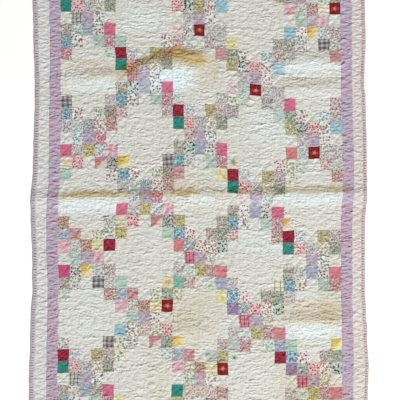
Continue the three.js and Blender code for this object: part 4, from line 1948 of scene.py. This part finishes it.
@dataclass
class Quilt:
    """The whole quilt, laid out in seam lines."""

    plan: QuiltPlan = field(default_factory=QuiltPlan)
    relief: Relief = field(default_factory=Relief)
    bag: ScrapBag = field(default_factory=ScrapBag)
    column_steps: int = 70
    row_steps: int = 135
    strip_steps: int = 14
    end_strip_steps: int = 25
    binding_steps: int = 8
    lavender_gather: float = 1.36
    cream_gather: float = 0.82

    def across_count(self, line: int) -> int:
        """Give the mesh steps after a seam line that runs along the quilt.

        Args:
            line: The seam line.

        Returns:
            The number of steps to the next seam line.
        """
        if line in (OUTER, RIGHT_OUTER - 1):
            return self.binding_steps
        return self.column_steps if CENTRE_SEAM <= line < RIGHT_OUTER - CENTRE_SEAM else self.strip_steps

    def along_count(self, line: int) -> int:
        """Give the mesh steps after a seam line that runs across the quilt.

        Args:
            line: The seam line.

        Returns:
            The number of steps to the next seam line.
        """
        if line in (OUTER, HEAD_OUTER - 1):
            return self.binding_steps
        return self.row_steps if CENTRE_SEAM <= line < HEAD_OUTER - CENTRE_SEAM else self.end_strip_steps

    def base(self, across: tuple[int, int], along: tuple[int, int]) -> dict[str, object]:
        """Give what a piece between two seam lines each way is made from.

        Args:
            across: Its seam lines at the left and the right.
            along: Its seam lines at the foot and the head.

        Returns:
            The fields that every piece has, without its name and its slot.
        """
        return {
            "across": Steps.over(*across, self.across_count, self.column_steps // PATCHES),
            "along": Steps.over(*along, self.along_count, self.row_steps // PATCHES),
            "plan": self.plan,
            "relief": self.relief,
            "bag": self.bag,
        }

    def make_blocks(self) -> None:
        """Make the chain's pieced and plain blocks, row by row from the head."""
        for row, letters in enumerate(BLOCK_PLAN):
            for column, letter in enumerate(letters):
                foot = CENTRE_SEAM + ROWS - 1 - row
                left = CENTRE_SEAM + column
                place = f"r{row + 1}_c{column + 1}"
                base = {**self.base((left, left + 1), (foot, foot + 1)), "row": row, "column": column}
                if letter == ".":
                    PlainBlock(f"plain_block_{place}", "plain_block", **base).make()
                else:
                    PiecedBlock(f"pieced_block_{place}", "patchwork", letter=letter, **base).make()

    def make_borders(self) -> None:
        """Make the lavender and the cream border."""
        lavender = Scrap.border_lavender
        self.make_border("lavender", CREAM_SEAM, self.lavender_gather, lavender, lavender)
        self.make_border("cream", BINDING_SEAM, self.cream_gather, Scrap.cream_cool, Scrap.cream_rosy)

    def make_border(self, kind: str, seam: int, gather: float, usual: Scrap, right_side: Scrap) -> None:
        """Make one border on all four sides.

        Args:
            kind: Its name.
            seam: The seam line at its outer edge.
            gather: How far washing has gathered it.
            usual: Its cotton.
            right_side: Its cotton on the right side.
        """
        right = RIGHT_OUTER - seam
        head = HEAD_OUTER - seam
        places = {
            "left": ((seam, seam + 1), (seam + 1, head - 1)),
            "right": ((right - 1, right), (seam + 1, head - 1)),
            "head": ((seam, right), (head - 1, head)),
            "foot": ((seam, right), (seam, seam + 1)),
        }
        for side, (across, along) in places.items():
            Border(
                f"{kind}_border_{side}",
                kind,
                scrap=right_side if side == "right" else usual,
                gather=gather,
                runs_across=side in ("head", "foot"),
                **self.base(across, along),
            ).make()

    def make_binding(self) -> None:
        """Make the rolled binding on all four sides."""
        inner = (BINDING_SEAM, RIGHT_OUTER - BINDING_SEAM)
        places = {
            "left": ((OUTER, BINDING_SEAM), (OUTER, HEAD_OUTER)),
            "right": ((inner[1], RIGHT_OUTER), (OUTER, HEAD_OUTER)),
            "head": (inner, (HEAD_OUTER - BINDING_SEAM, HEAD_OUTER)),
            "foot": (inner, (OUTER, BINDING_SEAM)),
        }
        for side, (across, along) in places.items():
            Binding(
                f"binding_{side}",
                "binding",
                scrap=Scrap.binding_rose if side == "right" else Scrap.binding_lilac,
                runs_across=side in ("head", "foot"),
                outer_first=side in ("left", "foot"),
                **self.base(across, along),
            ).make()


# --------------------------------------------------------------------------------------------------------
# Studio
# --------------------------------------------------------------------------------------------------------


@dataclass
class Studio:
    """The pale floor, the soft light and the camera straight above.

    Lengths are in metres here, but for the lens and the sensor, which are in millimetres.
    """

    view_width: float = 1.805
    view_middle: tuple[float, float] = (0.0045, -0.010)
    lens: float = 50.0
    sensor: float = 36.0
    sight: float = 100.0
    floor_size: float = 60.0
    floor_colour: str = "#ffffff"
    floor_shade: float = 0.97
    floor_mottle: float = 3.0
    floor_roughness: float = 0.8
    key_elevation: float = 36.0
    key_heading: float = -72.0
    key_strength: float = 3.1
    key_softness: float = 9.0
    key_colour: tuple[float, float, float] = (0.97, 0.985, 1.0)
    box_place: tuple[float, float, float] = (1.7, -2.3, 3.3)
    box_power: float = 64.0
    box_size: float = 1.6
    box_colour: tuple[float, float, float] = (1.0, 0.99, 0.975)
    sky_strength: float = 0.3
    sky_colour: Colour = (1.0, 0.975, 0.94, 1.0)
    backdrop_colour: Colour = (0.97, 0.97, 0.96, 1.0)

    def make_camera(self) -> None:
        """Look straight down, with the quilt's long side upright in the picture."""
        distance = self.view_width / 2 / math.tan(math.atan(self.sensor / 2 / self.lens))
        bpy.ops.object.camera_add(location=(*self.view_middle, distance), rotation=(0, 0, 0))
        camera = bpy.context.object
        camera.data.lens = self.lens
        camera.data.sensor_width = self.sensor
        camera.data.clip_end = self.sight
        bpy.context.scene.camera = camera

    def make_key(self) -> None:
        """Shine one low soft light from the foot."""
        bpy.ops.object.light_add(type="SUN")
        key = bpy.context.object
        key.data.energy = self.key_strength
        key.data.angle = math.radians(self.key_softness)
        key.data.color = self.key_colour
        key.rotation_euler = (math.radians(90 - self.key_elevation), 0, math.radians(90 + self.key_heading))

    def make_box(self) -> None:
        """Shine one large light from the right."""
        bpy.ops.object.light_add(type="AREA", location=self.box_place)
        box = bpy.context.object
        box.data.energy = self.box_power
        box.data.size = self.box_size
        box.data.color = self.box_colour
        box.rotation_euler = Vector(self.box_place).to_track_quat("Z", "Y").to_euler()

    def make_sky(self) -> None:
        """Light the quilt evenly from all over, and show a pale backdrop beyond the floor."""
        world = bpy.data.worlds.new("even_sky")
        bpy.context.scene.world = world
        world.use_nodes = True
        tree = world.node_tree
        sky = tree.nodes["Background"]
        sky.inputs["Color"].default_value = self.sky_colour
        sky.inputs["Strength"].default_value = self.sky_strength
        backdrop = tree.nodes.new("ShaderNodeBackground")
        backdrop.inputs["Color"].default_value = self.backdrop_colour
        seen = tree.nodes.new("ShaderNodeLightPath")
        choice = tree.nodes.new("ShaderNodeMixShader")
        tree.links.new(choice.inputs[0], seen.outputs["Is Camera Ray"])
        tree.links.new(choice.inputs[1], sky.outputs[0])
        tree.links.new(choice.inputs[2], backdrop.outputs[0])
        tree.links.new(tree.nodes["World Output"].inputs["Surface"], choice.outputs[0])

    def make_floor(self) -> None:
        """Lay the plain pale floor."""
        bpy.ops.object.select_all(action="DESELECT")
        bpy.ops.mesh.primitive_plane_add(size=self.floor_size, location=(0, 0, 0))
        floor = bpy.context.object
        floor.name = "floor"
        bench = Bench("pale_floor")
        *base, alpha = linear_colour(self.floor_colour)
        shade = [part * self.floor_shade for part in base]
        mottling = bench.noise(bench.here(), self.floor_mottle, detail=2.0)
        bench.surface(bench.mix(mottling, (*base, alpha), (*shade, alpha)), self.floor_roughness)
        floor.data.materials.append(bench.material)

    def make(self) -> None:
        """Set up the whole studio."""
        self.make_camera()
        self.make_key()
        self.make_box()
        self.make_sky()
        self.make_floor()
        bpy.context.scene.view_settings.view_transform = "Standard"


def main() -> None:
    """Load the frame, set up the studio and build the quilt round it."""
    logging.basicConfig(level=logging.INFO, format="%(name)s: %(message)s")
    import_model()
    Studio().make()
    quilt = Quilt()
    quilt.make_blocks()
    quilt.make_borders()
    quilt.make_binding()


if __name__ == "__main__":
    main()
